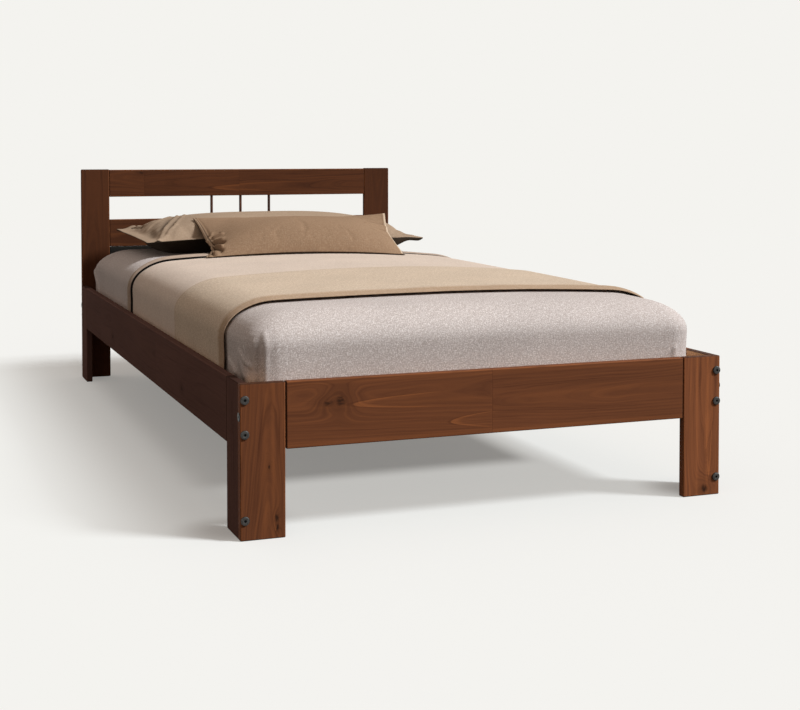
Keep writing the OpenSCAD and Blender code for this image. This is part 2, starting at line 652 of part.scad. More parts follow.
// One row of a cloth laid over the bed: from the left tuck over the top to the right tuck
function cloth_row(y, lift) = let (
        stops = section_stops(leg_h - tuck_depth),
        left = [for (s = stops) let (x = -(half_w - s[0] + s[2] * lift))
            [x, y, s[1] + s[3] * (lift + crown_at(x, y))]])
    concat(left, [[0, y, mattress_flat_top + lift + crown_at(0, y)]],
           [for (i = [len(left) - 1 : -1 : 0]) [-left[i].x, y, left[i].z]]);

// A cloth from y0 to y1 whose two edges are rounded down
module laid_cloth(y0, y1, lift, t) {
    rows = concat([[y0, cloth_edge_share]],
                  [for (k = [0 : cloth_steps]) [y0 + t / 2 + (y1 - y0 - t) * k / cloth_steps, 1]],
                  [[y1, cloth_edge_share]]);
    slab_mesh([for (r = rows) cloth_row(r[0], lift + t * r[1])],
              [for (r = rows) cloth_row(r[0], lift)]);
}

module coverlet() color(coverlet_tan) laid_cloth(coverlet_y, coverlet_end_y, coverlet_lift, coverlet_t);

module throw() color(throw_tan) laid_cloth(throw_y, throw_y + throw_w, throw_lift, throw_t);

// Filling of a pad, from 1 in its middle to 0 at its seam
function puff(u, v, powers) = pow(max(0, (1 - pow(min(1, abs(u)), powers[0]))
                                        * (1 - pow(min(1, abs(v)), powers[0]))), powers[1]);
function pulled(a, b, pull) = a * (1 - pull * (1 - b * b));

// The rear pillow lies on the sheet, with its flange floating round it
function pillow_place(u, v) = [pillow_w / 2 * pulled(u, v, pillow_pull_share),
                               pillow_y + pillow_l / 2 * pulled(v, u, pillow_pull_share)];
function pillow_fill(u, v) = puff(u / (1 - 2 * pillow_flange / pillow_w),
                                  v / (1 - 2 * pillow_flange / pillow_l), pillow_puff_powers);
function pillow_rise(v) = pillow_edge_rise + pillow_back_rise * (v + 1) / 2;
function pillow_under_z(u, v) = let (p = pillow_place(u, v), f = pillow_fill(u, v))
    deck_z(p.x, p.y) + sheet_lift + rest_play + pillow_rise(v) * pow(1 - f, flange_crown_power);
function pillow_top_z(u, v) = let (p = pillow_place(u, v), f = pillow_fill(u, v))
    deck_z(p.x, p.y) + sheet_lift + rest_play + pillow_rise(v) + pillow_flange_t + pillow_puff * f;

module rear_pillow() color(pillow_tan) {
    us = [for (i = [0 : pillow_steps[0]]) 2 * i / pillow_steps[0] - 1];
    vs = [for (j = [0 : pillow_steps[1]]) 2 * j / pillow_steps[1] - 1];
    slab_mesh([for (v = vs) [for (u = us) let (p = pillow_place(u, v)) [p.x, p.y, pillow_top_z(u, v)]]],
              [for (v = vs) [for (u = us) let (p = pillow_place(u, v)) [p.x, p.y, pillow_under_z(u, v)]]]);
}

// What carries the front cushion: coverlet, then sheet, then the rear pillow's front
function pillow_v(y) = (y - pillow_y) / (pillow_l / 2);
function pillow_u(x) = x / (pillow_w / 2);
function cushion_seat_z(x, y) = let (v = pillow_v(y),
        cover = deck_z(x, y) + coverlet_lift + coverlet_t,
        pillow = v > -1 ? pillow_top_z(pillow_u(x), v) : 0)
    rest_play + max(cover, pillow);
function cushion_along(u, v) = cushion_reach * pulled(v, u, cushion_pull_share);
function cushion_place(u, v) = let (a = cushion_w / 2 * pulled(u, v, cushion_pull_share),
        b = cushion_along(u, v), c = cos(cushion_turn), s = sin(cushion_turn))
    [a * c + b * s, cushion_y - a * s + b * c];
cushion_low_z = deck_z(0, cushion_y - cushion_reach) + coverlet_lift + coverlet_t + cushion_seam_rise;
function cushion_seam_z(u, v) = cushion_low_z
    + (cushion_along(u, v) + cushion_reach) * tan(cushion_lean) - cushion_droop * u * u * (1 - v) / 2;
function cushion_back_z(u, v) = let (p = cushion_place(u, v))
    max(cushion_seat_z(p.x, p.y), cushion_seam_z(u, v) - cushion_seam_t / 2
                                      - cushion_back * puff(u, v, cushion_puff_powers));
function cushion_front_z(u, v) =
    max(cushion_back_z(u, v) + cushion_seam_t,
        cushion_seam_z(u, v) + cushion_seam_t / 2
            + cushion_puff * puff(u, v, cushion_puff_powers) * (1 - cushion_low_fill_share * v));

module front_cushion() color(cushion_tan) {
    us = [for (i = [0 : cushion_steps[0]]) 2 * i / cushion_steps[0] - 1];
    vs = [for (j = [0 : cushion_steps[1]]) 2 * j / cushion_steps[1] - 1];
    slab_mesh([for (v = vs) [for (u = us) let (p = cushion_place(u, v)) [p.x, p.y, cushion_front_z(u, v)]]],
              [for (v = vs) [for (u = us) let (p = cushion_place(u, v)) [p.x, p.y, cushion_back_z(u, v)]]]);
}

foot_leg_front_board(-1);  // foot_leg_left_front_board
foot_leg_front_board(1);  // foot_leg_right_front_board
leg_side_board(-1, -1);  // foot_leg_left_side_board
leg_side_board(1, -1);  // foot_leg_right_side_board
head_post(-1);  // head_post_left
head_post(1);  // head_post_right
leg_side_board(-1, 1);  // head_leg_left_side_board
leg_side_board(1, 1);  // head_leg_right_side_board
side_rail(-1);  // side_rail_left
side_rail(1);  // side_rail_right
foot_rail();
head_cross_rail();
headboard_top_rail();
headboard_lower_rail();
headboard_bottom_rail();
spindle(-1);  // spindle_left
spindle(0);  // spindle_middle
spindle(1);  // spindle_right
ledger(-1);  // ledger_left
ledger(1);  // ledger_right
for (i = [0 : slat_count - 1]) slat(i);
leg_to_side_rail_bolts();
leg_to_end_rail_bolts();
low_leg_bolts();
side_rail_barrel_nuts();
end_rail_barrel_nuts();
leg_barrel_nuts();
leg_dowels();
side_rail_dowels();
end_rail_dowels();
headboard_dowels();
slat_screws();
ledger_screws();
mattress();
fitted_sheet();
coverlet();
throw();
rear_pillow();
front_cushion();
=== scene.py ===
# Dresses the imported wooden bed: stained pine boards, connector bolts, mattress and bedding.
# Everything is in metres in the bed's own frame. The foot points to -Y and the floor is Z = 0.
import functools
import math

import bmesh
import bpy
from mathutils import Matrix, Vector, noise


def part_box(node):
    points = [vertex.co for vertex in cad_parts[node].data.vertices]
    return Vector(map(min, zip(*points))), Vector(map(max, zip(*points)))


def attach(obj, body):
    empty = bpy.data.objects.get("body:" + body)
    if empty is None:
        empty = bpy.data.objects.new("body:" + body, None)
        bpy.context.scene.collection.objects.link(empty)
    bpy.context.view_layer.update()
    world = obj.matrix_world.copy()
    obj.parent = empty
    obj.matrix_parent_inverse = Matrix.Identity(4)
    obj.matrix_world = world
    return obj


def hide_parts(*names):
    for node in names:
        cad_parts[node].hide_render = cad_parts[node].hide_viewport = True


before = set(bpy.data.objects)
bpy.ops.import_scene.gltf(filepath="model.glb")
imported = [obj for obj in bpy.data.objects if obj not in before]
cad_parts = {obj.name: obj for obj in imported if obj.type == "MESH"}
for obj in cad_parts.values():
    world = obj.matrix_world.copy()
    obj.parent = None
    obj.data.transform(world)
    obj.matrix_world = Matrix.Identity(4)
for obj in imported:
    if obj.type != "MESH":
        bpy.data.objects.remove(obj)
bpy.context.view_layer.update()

# Boards
BOARD_T = 0.018
BOARD_EDGE = 0.0022
POST_EDGE = 0.0035
SAW_TOOTH = 0.0018
WORN_WIDTH = 0.0042
WORN_DEPTH = 0.0035
END_WIDTH = 0.0022
RING_WIDTH = 0.0052
LEDGER_RING = 0.004

# Bolts and the holes of their nuts
BOLT_X = 0.52
UPPER_BOLT_ZS = (0.269, 0.203)
SIDE_BOLT_Z = 0.236
LOW_BOLT_Z = 0.039
NUT_HOLE_R = 0.0052
NUT_HOLE_DEPTH = 0.016
NUT_INSET = 0.038
HEAD_R = 0.00875
HEAD_T = 0.0035
THIN_HEAD_T = 0.0012
SHANK_R = 0.003
SOCKET_R = 0.005 / 2 / math.cos(math.pi / 6)
THIN_SOCKET_R = 0.004 / 2 / math.cos(math.pi / 6)
SOCKET_DEPTH = 0.0025
THREAD_TURNS = 8
THREAD_PITCH = 0.0012
THREAD_DEPTH = 0.0005
SIDE_RAIL_BOLT_L = 0.15
LOW_BOLT_L = 0.061
FOOT_BOLT_L = 0.134
HEAD_BOLT_L = 0.135

# Mattress and the layers laid over it
MATTRESS_LOW, MATTRESS_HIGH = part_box("mattress")
HALF_W = MATTRESS_HIGH.x
HALF_L = MATTRESS_HIGH.y
MATTRESS_CELLS = (48, 96, 5)
MATTRESS_TURN = 0.008
CROWN = 0.022
FLAT_TOP = MATTRESS_HIGH.z - CROWN
ROUND_W = 0.1
ROUND_H = 0.06
CORNER_R = 0.06
SIDE_DRAW = 0.0015
RIGHT_SAG = 0.011
HEAD_SAG = 0.01
SHEET_CELLS = (78, 150, 14)
SHEET_GAP = 0.0003
SHEET_UNDER_GAP = 0.0004
SHEET_T = 0.0012
SHEET_HEM = 0.03
HEM_ROWS = 3
LAID_STEPS = 24
COVERLET_CELL = 0.015
COVERLET_LIFT = 0.0019
COVERLET_T = 0.0036
COVERLET_FOOT_Y = -0.777
COVERLET_HEAD_Y = 0.287
COVERLET_ROLL = 0.026
COVERLET_ROLL_H = 0.0115
COVERLET_HEM = COVERLET_ROLL + 0.014
COVERLET_CREASE = 0.0024
TUCK_Z = 0.27
HEM_START = 0.86
THROW_CELL = 0.0135
THROW_LIFT = 0.0063
THROW_LAYER = 0.0023
THROW_FOLD_GAP = 0.0006
THROW_FOOT_Y = -0.802
THROW_HEAD_Y = -0.316
THROW_HEM = 0.045
THROW_HEM_ROWS = THROW_HEM + 0.01
THROW_HEM_RISE = 0.0055
THROW_HEM_FALL = 1.15
THROW_HEM_DRAW = 0.008
THROW_SET_BACK = 0.01

# Pillows
REST_PLAY = 0.0003
PILLOW_CELLS = (96, 60)
PILLOW_W = 0.856
PILLOW_L = 0.53
PILLOW_Y = 0.697
PILLOW_FLANGE = 0.04
FLANGE_T = 0.003
PILLOW_RISE = 0.045
PILLOW_RIGHT_RISE = 0.005
PILLOW_BACK_RISE = 0.013
PILLOW_PUFF = 0.052
PILLOW_WAVE = 0.014
PILLOW_WAVE_X = -0.374
PILLOW_WAVE_W = 0.02
PILLOW_CURL = 0.003
PILLOW_PULL = 0.012
PILLOW_DROP = 0.011
PILLOW_HANG = 0.034
PILLOW_SLACK = 0.02
CUSHION_CELLS = (90, 58)
CUSHION_W = 0.57
CUSHION_L = 0.356
CUSHION_LEAN = math.radians(14)
CUSHION_TURN = math.radians(8.6)
CUSHION_BEFORE_PILLOW = 0.253
CUSHION_PUFF = 0.045
CUSHION_BACK = 0.024
CUSHION_SEAM_T = 0.004
CUSHION_DROOP = 0.016
CUSHION_PULL = 0.04
CUSHION_LOW_FILL = 0.83
CUSHION_TIP_RISE = 0.009
CUSHION_EARS = 0.035
CUSHION_PINCH = 0.018
CUSHION_LIFT = 0.001
CUSHION_ON_PILLOW = 0.007
CUSHION_SLACK = 0.004
CUSHION_REACH = CUSHION_L / 2 * math.cos(CUSHION_LEAN)
CUSHION_Y = PILLOW_Y - PILLOW_L / 2 - CUSHION_BEFORE_PILLOW + CUSHION_REACH

# Simulation of the pads: pressure, furthest move of a point, frames
PAD_PRESSURE = 3
PAD_REACH = 0.006
PAD_FRAMES = 20

# Cloths: the light left at the bottom of a fold, the width of a thread, the depth of a fold that
# is wholly in shade, the mark of a pad's under fabric, which paints it in full shade, and the
# painted shade of the pillow's left end
FOLD_SHADE = 0.1
THREAD = 0.0011
FOLD_DEPTH = 0.016
UNDER_IN_SHADE = -8
PILLOW_LEFT_SHADE = 0.17

# Folds, each a line from one place to another, then its height and its half width. FOOT_FOLDS and
# LEFT_FOLDS hold a share of shade in place of the height. The sheet's foot folds are in X and Z,
# its left folds in Y and Z, the pillow's in X and Y, and the cushion's in its cloth's own metres.
FOOT_RIDGES = ((-0.465, 0.385, -0.465, 0.285, 0.003, 0.006),
               (-0.486, 0.37, -0.486, 0.285, 0.0035, 0.005),
               (0.442, 0.316, 0.442, 0.29, 0.003, 0.006))
FOOT_FOLDS = ((-0.4785, 0.374, -0.4785, 0.285, 0.3, 0.004),
              (-0.4975, 0.322, -0.492, 0.285, 0.35, 0.006),
              (0.434, 0.312, 0.434, 0.29, 0.3, 0.0035))
LEFT_RIDGES = ((-0.912, 0.346, -0.966, 0.322, 0.0045, 0.0045),
               (-0.828, 0.318, -0.884, 0.296, 0.0045, 0.0045),
               (0.95, 0.352, 0.858, 0.29, 0.005, 0.007))
LEFT_FOLDS = ((-0.9, 0.318, -0.94, 0.292, 0.35, 0.009),
              (-0.88, 0.292, -0.985, 0.286, 0.4, 0.011),
              (0.965, 0.338, 0.885, 0.285, 0.45, 0.006))
PILLOW_RIDGES = (
    (-0.372, 0.725, -0.285, 0.805, 0.0035, 0.006), (-0.396, 0.434, -0.268, 0.78, 0.0045, 0.006),
    (-0.392, 0.44, -0.32, 0.55, 0.004, 0.006), (-0.32, 0.55, -0.245, 0.78, 0.0035, 0.006),
    (-0.395, 0.86, -0.34, 0.79, 0.003, 0.006), (0.398, 0.452, 0.33, 0.54, 0.004, 0.008))
PILLOW_DIPS = (
    (-0.352, 0.6, -0.3, 0.74, -0.0025, 0.055), (-0.352, 0.6, -0.302, 0.74, -0.0075, 0.012),
    (-0.345, 0.535, -0.285, 0.69, -0.0045, 0.007), (-0.382, 0.56, -0.374, 0.68, -0.003, 0.009),
    (-0.384, 0.925, -0.372, 0.82, -0.005, 0.007), (-0.34, 0.83, -0.29, 0.85, -0.004, 0.008),
    (0.392, 0.5, 0.32, 0.6, -0.005, 0.01), (0.38, 0.9, 0.32, 0.84, -0.004, 0.01))
CUSHION_RIDGES = (
    (-0.285, -0.04, -0.24, -0.056, 0.006, 0.0045), (-0.278, -0.036, -0.262, -0.01, 0.004, 0.004),
    (-0.28, -0.06, -0.244, -0.092, 0.004, 0.007), (-0.28, -0.1, -0.242, -0.142, 0.0055, 0.0045),
    (-0.284, -0.166, -0.25, -0.172, 0.004, 0.005), (-0.281, -0.15, -0.281, 0.16, 0.0025, 0.0035),
    (0.276, 0.05, 0.215, 0.035, 0.0035, 0.007), (0.27, -0.06, 0.225, -0.05, 0.003, 0.007),
    (0.281, -0.15, 0.281, 0.16, 0.003, 0.004))
CUSHION_DIPS = (
    (-0.274, -0.04, -0.248, -0.03, -0.005, 0.005), (-0.278, -0.08, -0.24, -0.122, -0.008, 0.006),
    (-0.278, -0.112, -0.242, -0.158, -0.008, 0.006), (-0.278, -0.14, -0.262, -0.174, -0.005, 0.004),
    (-0.272, -0.15, -0.272, 0.165, -0.002, 0.003), (0.276, 0.085, 0.225, 0.075, -0.0045, 0.007),
    (0.274, 0.018, 0.225, 0, -0.0045, 0.007))

# Light, floor and viewpoint. The floor keeps its own share of glow in each part of the shadow,
# which paints the shadow's depth by place.
AMBIENT = 0.34
AMBIENT_TINT = (1, 0.87, 0.78, 1)
KEY_TINT = (0.94, 1.0, 1.05)
KEY_TOWARD = Vector((0.7, -0.46, 0.695))
KEY_STRENGTH = 1.015
KEY_ANGLE = math.radians(13)
SHADE_UNDER_BED = 0.26
SHADE_ASIDE = 0.37
SHADE_FAR_ASIDE = 0.88
SHADE_IN_FRONT = 0.56
SHADE_AT_LEG = 0.45
FOOT_LEG_PLACES = ((-0.53, -0.95), (0.5, -0.96))
FLOOR_BOUNCE = 0.08
FLOOR_HALF = 60
FLOOR_FADE = (4, 9)
LENS = 63.86
LENS_SHIFT = -0.1966
VIEWPOINT = (-1.1886, -3.6338, 0.745)
VIEW_ANGLES = (math.radians(88), 0, math.radians(-20.724))


def srgb(red, green, blue):
    """A display colour from 0 to 255, as the shader wants it."""
    def linear(value):
        share = value / 255
        return share / 12.92 if share <= 0.04045 else ((share + 0.055) / 1.055) ** 2.4
    return (linear(red), linear(green), linear(blue), 1)


BACKGROUND = srgb(244, 243, 239)
BLACK_SHADE = srgb(12, 8, 6)


def smooth_step(low, high, value):
    """Goes smoothly from 0 at low to 1 at high."""
    share = min(1, max(0, (value - low) / (high - low)))
    return share * share * (3 - 2 * share)


def ripple(place, seed):
    """Smooth noise from about -1 to 1 along a line, the same each run."""
    return noise.noise(Vector((place + 17.3 * seed, -9.1 * seed, 3.7 * seed)))


def creased(x, y, creases):
    """Height added at a place by folds, each (from x, from y, to x, to y, height, width)."""
    height = 0
    for from_x, from_y, to_x, to_y, rise, width in creases:
        run_x, run_y = to_x - from_x, to_y - from_y
        share = ((x - from_x) * run_x + (y - from_y) * run_y) / (run_x ** 2 + run_y ** 2)
        share = min(1, max(0, share))
        gap = math.hypot(x - from_x - share * run_x, y - from_y - share * run_y)
        height += rise * math.exp(-(gap / width) ** 2)
    return height


def sum_node(operation):
    """A sum written with an ordinary sign, as a math node."""
    return lambda self, other: self.finish.math(operation, self, other)


class Output:
    """A node's output, which can be used in ordinary sums."""

    def __init__(self, finish, socket):
        self.finish = finish
        self.socket = socket

    __add__ = __radd__ = sum_node("ADD")
    __sub__ = sum_node("SUBTRACT")
    __mul__ = sum_node("MULTIPLY")
    __truediv__ = sum_node("DIVIDE")
    __gt__ = sum_node("GREATER_THAN")

    def __abs__(self):
        return self.finish.math("ABSOLUTE", self)


class Finish:
    """One material. Each method adds a node to it and returns that node's output."""

    def __init__(self, name):
        self.material = bpy.data.materials.new(name)
        self.material.use_nodes = True
        self.tree = self.material.node_tree
        self.shader = self.tree.nodes["Principled BSDF"]

    def feed(self, socket, value):
        if isinstance(value, Output):
            self.tree.links.new(value.socket, socket)
        else:
            socket.default_value = value

    def node(self, kind, inputs, output=0, **settings):
        made = self.tree.nodes.new("ShaderNode" + kind)
        for name, value in settings.items():
            setattr(made, name, value)
        for name, value in inputs.items():
            self.feed(made.inputs[name], value)
        return Output(self, made.outputs[output])

    def place(self):
        return self.node("TexCoord", {}, "Object")

    def math(self, operation, *values):
        return self.node("Math", dict(enumerate(values)), operation=operation)

    def vector(self, operation, *values, output=0):
        return self.node("VectorMath", dict(enumerate(values)), output, operation=operation)

    def length(self, vector):
        return self.vector("LENGTH", vector, output="Value")

    def split(self, vector):
        made = self.tree.nodes.new("ShaderNodeSeparateXYZ")
        self.feed(made.inputs[0], vector)
        return [Output(self, socket) for socket in made.outputs]

    def join(self, x, y, z):
        return self.node("CombineXYZ", {0: x, 1: y, 2: z})

    def most(self, *values):
        return functools.reduce(lambda first, second: self.math("MAXIMUM", first, second), values)

    def bell(self, value):
        """1 where value is 0, falling off on both sides of it."""
        return self.math("EXPONENT", value * value * -1)

    def noise(self, at, scale=1, detail=2, roughness=0.5):
        return self.node("TexNoise", {"Vector": at, "Scale": scale, "Detail": detail,
                                      "Roughness": roughness})

    def drawn(self, at, stretch, detail=2, roughness=0.5):
        """Noise with its own scale along each axis."""
        return self.noise(self.vector("MULTIPLY", at, stretch), 1, detail, roughness)

    def rise(self, value, low, high, bottom=0, top=1):
        """From bottom to top, smoothly, while value goes from low to high."""
        return self.node("MapRange", {0: value, 1: low, 2: high, 3: bottom, 4: top},
                         interpolation_type="SMOOTHSTEP")

    def steps(self, value, stops):
        """Grey levels at places along value, from 0 to 1."""
        made = self.tree.nodes.new("ShaderNodeValToRGB")
        self.feed(made.inputs[0], value)
        ramp = made.color_ramp.elements
        while len(ramp) < len(stops):
            ramp.new(0.5)
        for element, (at, level) in zip(ramp, stops):
            element.position = at
            element.color = (level, level, level, 1)
        return Output(self, made.outputs[0])

    def mix(self, share, first, second, blend="MIX"):
        return self.node("Mix", {0: share, 6: first, 7: second}, 2, data_type="RGBA",
                         blend_type=blend)

    def between(self, value, low, high, first, second):
        """From the first display colour to the second, while value goes from low to high."""
        return self.mix(self.rise(value, low, high), srgb(*first), srgb(*second))

    def shaded(self, colour, level):
        return self.mix(1, colour, self.join(level, level, level), "MULTIPLY")

    def bump(self, height, distance, strength=0.4):
        return self.node("Bump", {"Height": height, "Distance": distance, "Strength": strength})

    def finish(self, colour, roughness, **others):
        """Sets the shader's sockets, named with _ for a space, and returns the material."""
        self.feed(self.shader.inputs["Base Color"], colour)
        self.feed(self.shader.inputs["Roughness"], roughness)
        for name, value in others.items():
            self.feed(self.shader.inputs[name.replace("_", " ")], value)
        return self.material


# Wood finishes: ground, latewood and knot colours, and how strongly grain and fibre show
STAINED = {"ground": srgb(107, 63, 40), "light": srgb(164, 98, 56), "deep": srgb(70, 37, 23),
           "knot": srgb(34, 20, 13), "grain": 0.36, "rough": 0.62, "gloss": 0.08}
# Painted shade: a greyer, darker, nearly unglossed copy of the stain for the left side boards, which
# lie away from the light
SHADED_SIDE_STAINED = {**STAINED, "ground": srgb(100, 72, 64), "light": srgb(123, 90, 77),
                "deep": srgb(76, 50, 44), "grain": 0.26, "rough": 0.8, "gloss": 0.01}
# Painted shadow: a near-black copy of the stain for the headboard's bottom rail, standing in for the
# shade in the gap under the lower rail
SHADOW_DARK_STAINED = {**STAINED, "ground": srgb(38, 36, 33), "light": srgb(48, 44, 39),
                "deep": srgb(26, 24, 22), "knot": srgb(16, 14, 13)}
RAW = {"ground": srgb(226, 182, 136), "light": srgb(172, 112, 68), "deep": srgb(196, 146, 100),
       "knot": srgb(96, 50, 28), "grain": 0.75, "rough": 0.62, "gloss": 0.3}


def pine(name, node, tint, seed, joints=(), knots=(), flames=(), bands=(), heart=(0, 0.055),
         taper=0.022, tone=1.0, ring=RING_WIDTH, contrast=1.0):
    """Sawn pine on one board: growth rings round a heart behind its face, knots that push the
    rings aside, flames with a thin light outline, long light bands (across, width, share), fibre
    streaks, finger joints and rubbed edges. Places are (along, across) in metres from the
    board's middle."""
    f = Finish(name)
    low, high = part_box(node)
    size = high - low
    axes = sorted(range(3), key=lambda axis: -size[axis])
    parts = f.split(f.vector("SUBTRACT", f.place(), (low + high) / 2))
    along, across, through = (parts[axis] for axis in axes)
    half_along, half_across, half_through = (size[axis] / 2 for axis in axes)
    lot = seed + sum(along > place for place in joints)
    run = lot * 3.7 + along

    def grain_noise(run_scale, side_scale, side=across, depth=lot, detail=2, roughness=0.5):
        return f.noise(f.join(run * run_scale, side * side_scale, depth), 1, detail, roughness)

    drift = grain_noise(1.1, 5) - 0.5
    sway = grain_noise(2.6, 13, detail=3) - 0.5
    side = across - (f.math("SINE", lot * 2.4) * 0.018 + heart[0]) + drift * 0.05
    depth = through + heart[1] + (along * taper + sway * 0.022)
    radius = f.length(f.join(side, depth, 0))

    mottle = grain_noise(70, 150, detail=3)
    knot = 0
    for knot_along, knot_across, knot_r, stretch in knots:
        reach = f.length(f.join((along - knot_along) / stretch, across - knot_across, 0))
        near = f.bell(reach / (1.9 * knot_r))
        radius = near * knot_r + radius
        core = f.rise(sway * 0.014 + reach, 0.1 * knot_r, 1.1 * knot_r, 0.9, 0)
        knot = f.most(knot, core * f.rise(mottle, 0.35, 0.6, 0.45, 1), near * 0.28)

    phase = (sway * 0.002 + radius) / ring
    late = f.steps(f.math("FRACT", phase), [(0, 0.1), (0.5, 0.15), (0.82, 1), (0.9, 0.9), (1, 0.1)])
    broad = grain_noise(1.5, 65, side=radius, detail=3, roughness=0.6)
    streak = grain_noise(3.5, 330, side=radius, detail=4, roughness=0.65)
    fibre = grain_noise(22, 1100, depth=through * 1100)

    flame = 0
    shadow = 0
    for tip, flame_across, length, width in flames:
        forward = (along - tip) / length
        aside = (across - flame_across + sway * 0.012) / width
        level = forward - aside * aside
        fade = f.rise(forward, 0.7, 1.3, 1, 0)
        outline = f.rise(level, -0.02, 0.03) * f.rise(level, 0.05, 0.3, 1, 0.15)
        outside = f.rise(level, -0.12, -0.03) * f.rise(level, -0.03, 0.01, 1, 0)
        flame = f.most(flame, outline * fade)
        shadow = f.most(shadow, outside * fade)
    for band_across, band_width, band_share in bands:
        off = (across - band_across + sway * 0.008) / band_width
        flame = f.most(flame, f.bell(off) * band_share)

    light = late * f.rise(broad, 0.3, 0.7, 0.25, 1) * 0.6 + f.rise(streak, 0.35, 0.75) * 0.55
    light = light * (tint["grain"] * contrast) + flame * 0.46
    deep = f.rise(streak, 0.52, 0.28) * (0.6 * contrast) + f.rise(fibre, 0.4, 0.25) * 0.35
    deep = deep * f.rise(broad, 0.65, 0.35, 0.4, 1) + shadow * 0.35

    rub = grain_noise(14, 1, depth=through, detail=3)
    rim = f.rise(abs(across), half_across - WORN_WIDTH, half_across - 0.0006)
    rim = rim * f.rise(abs(through), half_through - WORN_DEPTH, half_through - 0.0006)
    rim = rim * f.rise(rub, 0.3, 0.6)
    end = f.rise(abs(along), half_along - END_WIDTH, half_along - 0.001)
    line = 0
    for place in joints:
        teeth = f.math("PINGPONG", through, SAW_TOOTH) * 0.12
        line = f.most(line, f.rise(abs(along + teeth - place), 0.0004, 0.0011, 1, 0))

    blotch = f.rise(grain_noise(3, 14, detail=3), 0.25, 0.75, 0.92, 1.08)
    colour = f.mix(light, tint["ground"], tint["light"])
    colour = f.mix(deep, colour, tint["deep"])
    colour = f.shaded(colour, f.math("SINE", lot * 5.1) * 0.07 + blotch * tone)
    for share, mark in ((rim * 0.45, "light"), (line * 0.25, "deep"), (end * 0.7, "knot"),
                        (knot, "knot")):
        colour = f.mix(share, colour, tint[mark])
    height = streak * 0.6 + fibre * 0.4 - line * 0.8
    return f.finish(colour, streak * 0.16 + (tint["rough"] - 0.08), Normal=f.bump(height, 0.0004, 0.5),
                    Specular_IOR_Level=tint["gloss"])


def blackened_steel():
    """Dark oiled steel of the connector bolts."""
    f = Finish("blackened_steel")
    mottle = f.noise(f.place(), 260, 4)
    scratch = f.drawn(f.place(), (900, 900, 160))
    return f.finish(f.between(mottle, 0.35, 0.7, (46, 44, 42), (72, 69, 66)),
                    f.rise(scratch, 0.2, 0.8, 0.38, 0.58), Metallic=0.4,
                    Normal=f.bump(mottle, 0.00012))


def painted_socket_shade():
    """Painted shade: near black in the sockets and round the rims of the bolts' heads."""
    f = Finish("painted_socket_shade")
    fleck = f.noise(f.place(), 500, 3)
    return f.finish(f.between(fleck, 0.3, 0.7, (12, 11, 10), (26, 24, 22)), 0.6,
                    Specular_IOR_Level=0.15)


def plated_zinc(name, tint):
    """Bright zinc with faint blooms and turning marks."""
    f = Finish(name)
    bloom = f.noise(f.place(), 180, 5)
    marks = f.drawn(f.place(), (200, 200, 2400))
    return f.finish(f.between(bloom, 0.3, 0.7, tint, (168, 166, 158)),
                    f.rise(marks, 0.2, 0.8, 0.28, 0.5), Metallic=1, Normal=f.bump(marks, 0.00008))


def beech_dowel():
    """Pale fluted dowel wood."""
    f = Finish("beech_dowel")
    fleck = f.drawn(f.place(), (900, 900, 900), 3)
    return f.finish(f.between(fleck, 0.35, 0.65, (206, 168, 122), (186, 144, 98)), 0.6,
                    Normal=f.bump(fleck, 0.0002))


def dark_spindle():
    """Nearly black stain over a turned spindle, thinner where it was rubbed."""
    f = Finish("dark_spindle")
    streak = f.drawn(f.place(), (700, 700, 12), 4, 0.6)
    worn = f.rise(f.drawn(f.place(), (60, 60, 20), 3), 0.5, 0.75) * 0.5
    colour = f.between(streak, 0.3, 0.7, (52, 27, 18), (84, 46, 30))
    return f.finish(f.mix(worn, colour, srgb(112, 66, 42)), f.rise(streak, 0.2, 0.8, 0.36, 0.52),
                    Specular_IOR_Level=0.3, Normal=f.bump(streak, 0.0002))


def cloth(name, warp, weft, pale, heather, coarse, nap, bands=()):
    """Woven cloth that follows the surface: warp and weft threads, heathered yarn, slubs and nap.
    Its attribute holds the place on the flat cloth in metres, then its share of open light, from
    0 deep in a fold to 1, which paints shade. Bands are (from, to, axis, colour, share) stripes:
    hem colours, and painted shade, shadow lines and highlights."""
    f = Finish(name)
    parts = f.split(f.node("Attribute", {}, "Vector", attribute_name="cloth"))
    at = f.join(parts[0], parts[1], 0)
    bend = (f.noise(at, 90) - 0.5) * 0.0012
    warps, wefts = (f.math("SINE", (bend + part) / THREAD * (2 * math.pi)) for part in parts[:2])
    weave = warps * wefts * 0.5 + 0.5
    yarn = f.noise(at, 0.7 / coarse, 3, 0.75) * 0.56
    for stretch in ((0.16 / coarse, 1 / coarse, 1), (1 / coarse, 0.16 / coarse, 1)):
        yarn = yarn + f.drawn(at, stretch, 3, 0.7) * 0.22
    slubs = f.rise(f.drawn(at, (14, 900, 1), 2, 0.6), 0.66, 0.8)
    warp, weft, pale = (srgb(*tint) for tint in (warp, weft, pale))
    colour = f.mix(f.rise(weave, 0.1, 0.9, 0.35, 0.65), warp, weft)
    colour = f.mix(f.rise(yarn, 0.48, 0.58) * heather, colour, pale)
    colour = f.mix(f.rise(yarn, 0.4, 0.5, 1, 0) * heather, colour, warp)
    colour = f.mix(slubs * 0.35, colour, pale)
    for start, stop, axis, tint, share in bands:
        inside = f.rise(parts[axis], start - 0.0006, start + 0.0006)
        inside = inside * f.rise(parts[axis], stop - 0.0006, stop + 0.0006, 1, 0)
        colour = f.mix(inside * share, colour, tint)
    shade = f.rise(f.noise(at, 7, 3), 0.3, 0.7, 0.965, 1.03)
    shade = shade * f.rise(f.noise(at, 95, 4, 0.65), 0.3, 0.7, 0.965, 1.035)
    colour = f.shaded(colour, shade * f.rise(parts[2], 0, 1, FOLD_SHADE, 1))
    height = yarn * 0.8 + weave * 0.35 + slubs * 0.4
    return f.finish(colour, 0.85, Normal=f.bump(height, 0.00035, 0.55), Specular_IOR_Level=0.06,
                    Sheen_Weight=nap, Sheen_Roughness=0.45, Sheen_Tint=pale)


